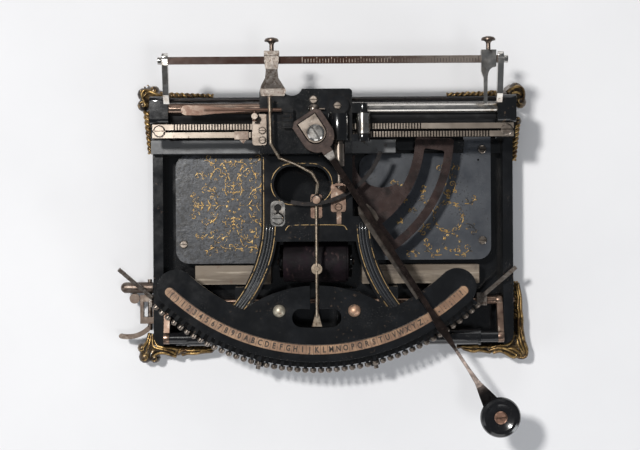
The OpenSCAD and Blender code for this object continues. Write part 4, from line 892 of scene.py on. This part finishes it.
# %% Painted highlight on the slot's edge
EDGE_R, EDGE_Z, EDGE_THICK = 183.0, 70.0, 0.16
edge = []
for a in range(-134, -45, 4):
    edge.append((SPINDLE[0] + EDGE_R * math.cos(math.radians(a)),
                 SPINDLE[1] + EDGE_R * math.sin(math.radians(a)), EDGE_Z))
slot_edge_highlight = strokes_to_piece("slot_edge_highlight", [(edge, [EDGE_THICK] * len(edge))], finishes["nickel"], "frame",
                             sides=1)


# %% [markdown]
# ## Marks of the ruler
# The ruler is engraved with a mark for each letter space, and a long one for each fifth,
# from the left of the tower to the right end. Cuts this fine are as well shown by thin
# bars of another colour, which lie just above the steel.

# %% Ruler marks
RULER_TOP = 104.6
LETTER_SPACE, FIRST_MARK, MARKS = 2.5, -26, 61
LONG_MARK, SHORT_MARK = (136.9, 4.8), (136.1, 3.2)  # middle and length
MARK_W, MARK_LIFT = 0.45, 0.02
marks_mesh = bmesh.new()
for k in range(MARKS):
    middle, length = SHORT_MARK if k % 5 else LONG_MARK
    spot = ((FIRST_MARK + LETTER_SPACE * k) * MM, middle * MM, (RULER_TOP + MARK_LIFT) * MM)
    add_mark(marks_mesh, Matrix.Translation(spot), MARK_W, length)
marks_data = bpy.data.meshes.new("ruler_marks")
marks_mesh.to_mesh(marks_data)
marks_mesh.free()
finishes["engraved_mark"] = finish(
    "engraved_mark", (0.34, 0.28, 0.23),
    over=[((0.05, 0.03, 0.022), patches(300, 0.5, 0.62)),
          ((0.02, 0.016, 0.014), along("X", 30, 90))],
    rough=(0.3, 0.5, 200), metal=0.6)
marks_data.materials.append(finishes["engraved_mark"])
ruler_marks = put("ruler_marks", marks_data)
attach(ruler_marks, "carriage")
print("ruler marks:", len(marks_data.polygons))


# %% [markdown]
# ## Rococo feet
# The corners stand on cast shell-and-scroll ornament. Each foot is a bundle of strokes: a
# leg, round lobes, twisted ropes and leaf ridges. Thick copies of the strokes melt into
# one casting under a voxel remesh, and the ridges lie on it as thinner gilt strokes. All
# are written for a corner at 0, 0 with x and y pointing outwards.

# %% Ridges and lobes
REACH, REACH_SHARE = 8, 0.66
RIDGE_Z, RIDGE_R, RIDGE_FALL = 23.4, 1.3, 1.5
LOBE_Z = 15.0


def squeeze(u):
    """Outward reach, drawn in past REACH so that it stays inside the box of the feet."""
    return u if u < REACH else REACH + (u - REACH) * REACH_SHARE


def ridge(flat):
    """A gilt ridge along the points, highest in its middle, and the thicker casting below it."""
    n = len(flat)
    fall = [RIDGE_FALL * abs(2 * i / (n - 1) - 1) for i in range(n)]
    points = [(squeeze(x), squeeze(y), RIDGE_Z - down) for (x, y), down in zip(flat, fall)]
    below = [(x, y, z - RIDGE_R * 1.3) for x, y, z in points]
    return (below, [RIDGE_R * 1.5] * n), (points, taper(n, RIDGE_R, 0.3))


def lobe(x, y, radius):
    """A round boss, with a scroll on top of it."""
    x, y = squeeze(x), squeeze(y)
    rise = ((-9, 0.6), (-5, 1.0), (-1, 1.12), (3, 1.08), (6, 0.8), (8, 0.35))
    boss = ([(x, y, LOBE_Z + dz) for dz, share in rise], [radius * share for dz, share in rise])
    return boss, volute(x, y, LOBE_Z + 7.4, radius * 0.6, 40, 1.2, 1, 0.55)


print("foot strokes: ridge, lobe")

# %% Ropes
ROPE_Z, ROPE_THINNING = 19, 0.4
STRAND_REACH, STRAND_R, STRAND_GILT = 0.75, 0.62, 0.58  # shares of the core's radius


def rope(start, stop, thick, twists):
    """A core with two gilt strands that wind round it, thinner towards its end."""
    n = twists * 8 + 1
    swell = [thick * (1 - ROPE_THINNING * i / (n - 1)) for i in range(n)]
    runs_along_x = abs(stop[0] - start[0]) > abs(stop[1] - start[1])
    core, strands = [], ([], [])
    for i in range(n):
        t = i / (n - 1)
        x, y = start[0] + (stop[0] - start[0]) * t, start[1] + (stop[1] - start[1]) * t
        core.append((x, y, ROPE_Z - 0.5))
        for k in (0, 1):
            a = math.radians(360 * twists * t + 180 * k)
            aside, up = swell[i] * STRAND_REACH * math.cos(a), swell[i] * STRAND_REACH * math.sin(a)
            shift = (0, aside) if runs_along_x else (aside, 0)
            strands[k].append((x + shift[0], y + shift[1], ROPE_Z + up))
    cast = [(core, swell)] + [(points, [STRAND_R * r for r in swell]) for points in strands]
    gilt = [([(x, y, z + 0.4) for x, y, z in points], [STRAND_GILT * r for r in swell]) for points in strands]
    return cast, gilt


print("foot strokes: rope")


# %% [markdown]
# ### The four corners
# No two corners are alike. All but the left front one carry ropes along the side wall,
# and the front ones have leaf ridges that run out along the front. The left front one is
# cut short below the rocking lever.

# %% Strokes of each corner
right_ridges = [
    [(4.7, -54), (5.6, -46.8), (7, -39.5), (5.6, -32), (7.5, -25), (6.1, -17.7), (7.9, -10.4), (6.6, -3.1),
     (4.3, 2.4)],
    [(6.1, -54), (7.9, -46), (9.3, -37.7), (8.8, -29.5), (11, -21.3), (10.2, -13), (12.5, -5), (14.3, 1.5)],
    [(8.4, -15.8), (9.7, -8.6), (12.5, -2.2), (16, 3.3), (17.9, 8.7), (16, 13.3)],
    [(6.6, -10.4), (7.9, -2.2), (11.6, 5.1), (15.2, 9.6)],
    [(4.7, -6.7), (5.6, 0.5), (7.9, 6), (11.6, 9.6)],
    [(-18.5, 4.6), (-13, 2.8), (-7.6, 2.4), (-3, 1.8), (1.5, -1.5), (2.5, -6.7)],
    [(-20.3, 7.4), (-14.8, 5.1), (-9.4, 4.6), (-3.9, 6), (0.6, 8.7), (4.3, 12.4), (6.1, 16)],
    [(-16.7, 10.1), (-12, 7.4), (-7.6, 8.3), (-3.9, 11.5), (-0.3, 15), (3.4, 16.5), (5.2, 13.3), (2.5, 10),
     (-2, 8.7)],
    [(-9.4, 6.5), (-3, 5.1), (2.5, 6), (7, 8.7), (9.7, 13.3), (8.8, 16.9)],
    [(6.1, 16), (10.6, 17.4), (15.2, 15.6), (17.5, 11.5), (17, 6)],
    [(-49.4, 4.2), (-44, 2.8), (-38.5, 4.2), (-33, 2.8), (-27.6, 4.6), (-22, 3.3), (-17.6, 5.1)],
    [(-44, 5.1), (-38.5, 6.9), (-34, 8.3), (-29.4, 6.5), (-24, 7.8), (-18.5, 9.2)]]
left_ridges = [
    [(5.8, -10.5), (6.7, -4.9), (9.5, -0.4), (14, 3.3)],
    [(3.1, -9.5), (3.5, -3.1), (2.2, 2.4), (-2.4, 3.7), (-9.6, 5.1), (-15, 6.9), (-18.7, 9.6), (-15, 11.5)],
    [(1.3, -4), (-0.5, 1.4), (-6, 2.6), (-13.3, 3.2), (-20.6, 4.6)],
    [(3.1, 12.4), (0.4, 9.2), (-4.2, 7.4), (-9.6, 7.8), (-14.2, 10.6), (-18.7, 12.4)],
    [(-20.6, 6.9), (-26, 4.6), (-31.5, 6.4), (-37, 4.4), (-42.4, 6), (-48, 4.2), (-53.3, 4.8)],
    [(-23.3, 10.6), (-28.8, 7.6), (-35, 8.7), (-43.3, 6.6), (-51.5, 6.4)],
    [(4.6, -8), (5.2, -2), (7.6, 3), (9.4, 8)]]
corners = {
    (1, -1): dict(ridges=right_ridges, lobes=[(12, 11, 4.9)],
                  ropes=[((5.5, -22), (4.6, -55), 2.9, 4), ((-24, 4.6), (-49, 3.4), 2.6, 3)]),
    (-1, -1): dict(ridges=left_ridges, lobes=[(15.5, 3.3, 4.2), (11.5, 13.3, 5.6), (1.5, 15, 4.6)],
                   ropes=[((-20, 5.4), (-53, 3.8), 2.8, 4)]),
    (-1, 1): dict(ridges=[[(0, 4), (5, 9), (11, 9), (14, 3), (10, -2)], [(-8, 3.4), (-2, 4), (4, 8), (9, 6)]],
                  lobes=[(11.3, 5.2, 5.6), (0.4, 8.8, 4.2), (12, -4.8, 5.2)],
                  ropes=[((6.6, -11), (4.2, -49), 3.3, 4), ((-6, 3.6), (-53, 3.0), 2.9, 5)]),
    (1, 1): dict(ridges=[[(-2, 5), (4, 11), (12, 10), (16, 4), (14, -3)], [(2, 4), (8, 6), (12, 2)]],
                 lobes=[(6, 7.4, 6.2), (11.5, -3.9, 5.2), (7, -21, 4.0), (-16, 4.4, 3.0), (-38, 3.6, 2.8)],
                 ropes=[((6, -25), (3.8, -57), 3.0, 4), ((-8, 3.6), (-57, 3.0), 2.7, 5)])}
print("ridges, lobes and ropes:", {corner: [len(rows) for rows in forms.values()]
                                   for corner, forms in corners.items()})

# %% Gather the strokes of all four
BASE_X, BASE_Y = 161.5, 111.3  # the corner of the base
LEG = ([(5, 5, 0.4), (5, 5, 6), (4.5, 4.5, 13), (4, 4, 20)], [9.5, 9.0, 7.5, 6.5])
WALL_Z, WALL_R, WALL_SHARE = 17.5, 3.4, 0.8
FLUTES = (15, 35, 55, 75)  # degrees round the leg


def corner_strokes(ridges, lobes, ropes):
    """The strokes to cast, and those to gild, of a corner at 0, 0."""
    cast, gilt = [LEG], []
    for flat in ridges:
        below, above = ridge(flat)
        cast.append(below)
        gilt.append(above)
    for flat in ridges:
        wall = [(squeeze(x) * WALL_SHARE, squeeze(y) * WALL_SHARE, WALL_Z) for x, y in flat]
        cast.append((wall, [WALL_R] * len(flat)))
    for x, y, radius in lobes:
        boss, curl = lobe(x, y, radius)
        cast.append(boss)
        gilt.append(curl)
    for rope_form in ropes:
        rope_cast, rope_gilt = rope(*rope_form)
        cast += rope_cast
        gilt += rope_gilt
    for a in FLUTES:
        c, s = math.cos(math.radians(a)), math.sin(math.radians(a))
        flute = [(4 + r * c, 4 + r * s, z) for r, z in ((9.4, 20), (9.9, 14), (10.2, 6))]
        gilt.append((flute, [0.5, 1.0, 0.4]))
    return cast, gilt


cast_strokes, gilt_strokes = [], []
for (sx, sy), forms in corners.items():
    for strokes, all_strokes in zip(corner_strokes(**forms), (cast_strokes, gilt_strokes)):
        for points, radii in strokes:
            all_strokes.append(([(sx * (BASE_X + x), sy * (BASE_Y + y), z) for x, y, z in points], radii))
print("cast strokes:", len(cast_strokes), "gilt strokes:", len(gilt_strokes))


# %% [markdown]
# ### Casting and gilding
# The strokes could stay as crossing tubes, but a casting has one skin. A remesh with
# voxels of 0.7 mm joins them, as the sand mould did, and three rounds of smoothing take the
# steps out of it.

# %% Cast the four feet
VOXEL = 0.7
feet = strokes_to_piece("feet_casting", cast_strokes, finishes["foot_casting"], "frame", sides=3)
melt = feet.modifiers.new("melt", "REMESH")
melt.mode = "VOXEL"
melt.voxel_size = VOXEL * MM
melt.use_smooth_shade = True
calm = feet.modifiers.new("calm", "SMOOTH")
calm.iterations = 3
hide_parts("corner_feet")
feet_gilt = strokes_to_piece("feet_gilding", gilt_strokes, finishes["worn_gilt"], "frame", sides=2)


# %% [markdown]
# ## Floor
# The machine stood on pale paper that runs on past the picture, so one large sheet is
# laid just below the feet.

# %% Floor
FLOOR_HALF, FLOOR_GAP = 3, 0.0005
floor_mesh = bmesh.new()
bmesh.ops.create_grid(floor_mesh, x_segments=1, y_segments=1, size=FLOOR_HALF)
floor_data = bpy.data.meshes.new("studio_floor")
floor_mesh.to_mesh(floor_data)
floor_mesh.free()
floor_data.materials.append(finish(
    "pale_paper", (0.78, 0.78, 0.795),
    over=[((0.74, 0.74, 0.758), patches(3, 0.4, 0.7))],
    rough=(0.7, 0.8, 5)))
floor = put("studio_floor", floor_data)
floor.location.z = -FLOOR_GAP
print("floor laid")
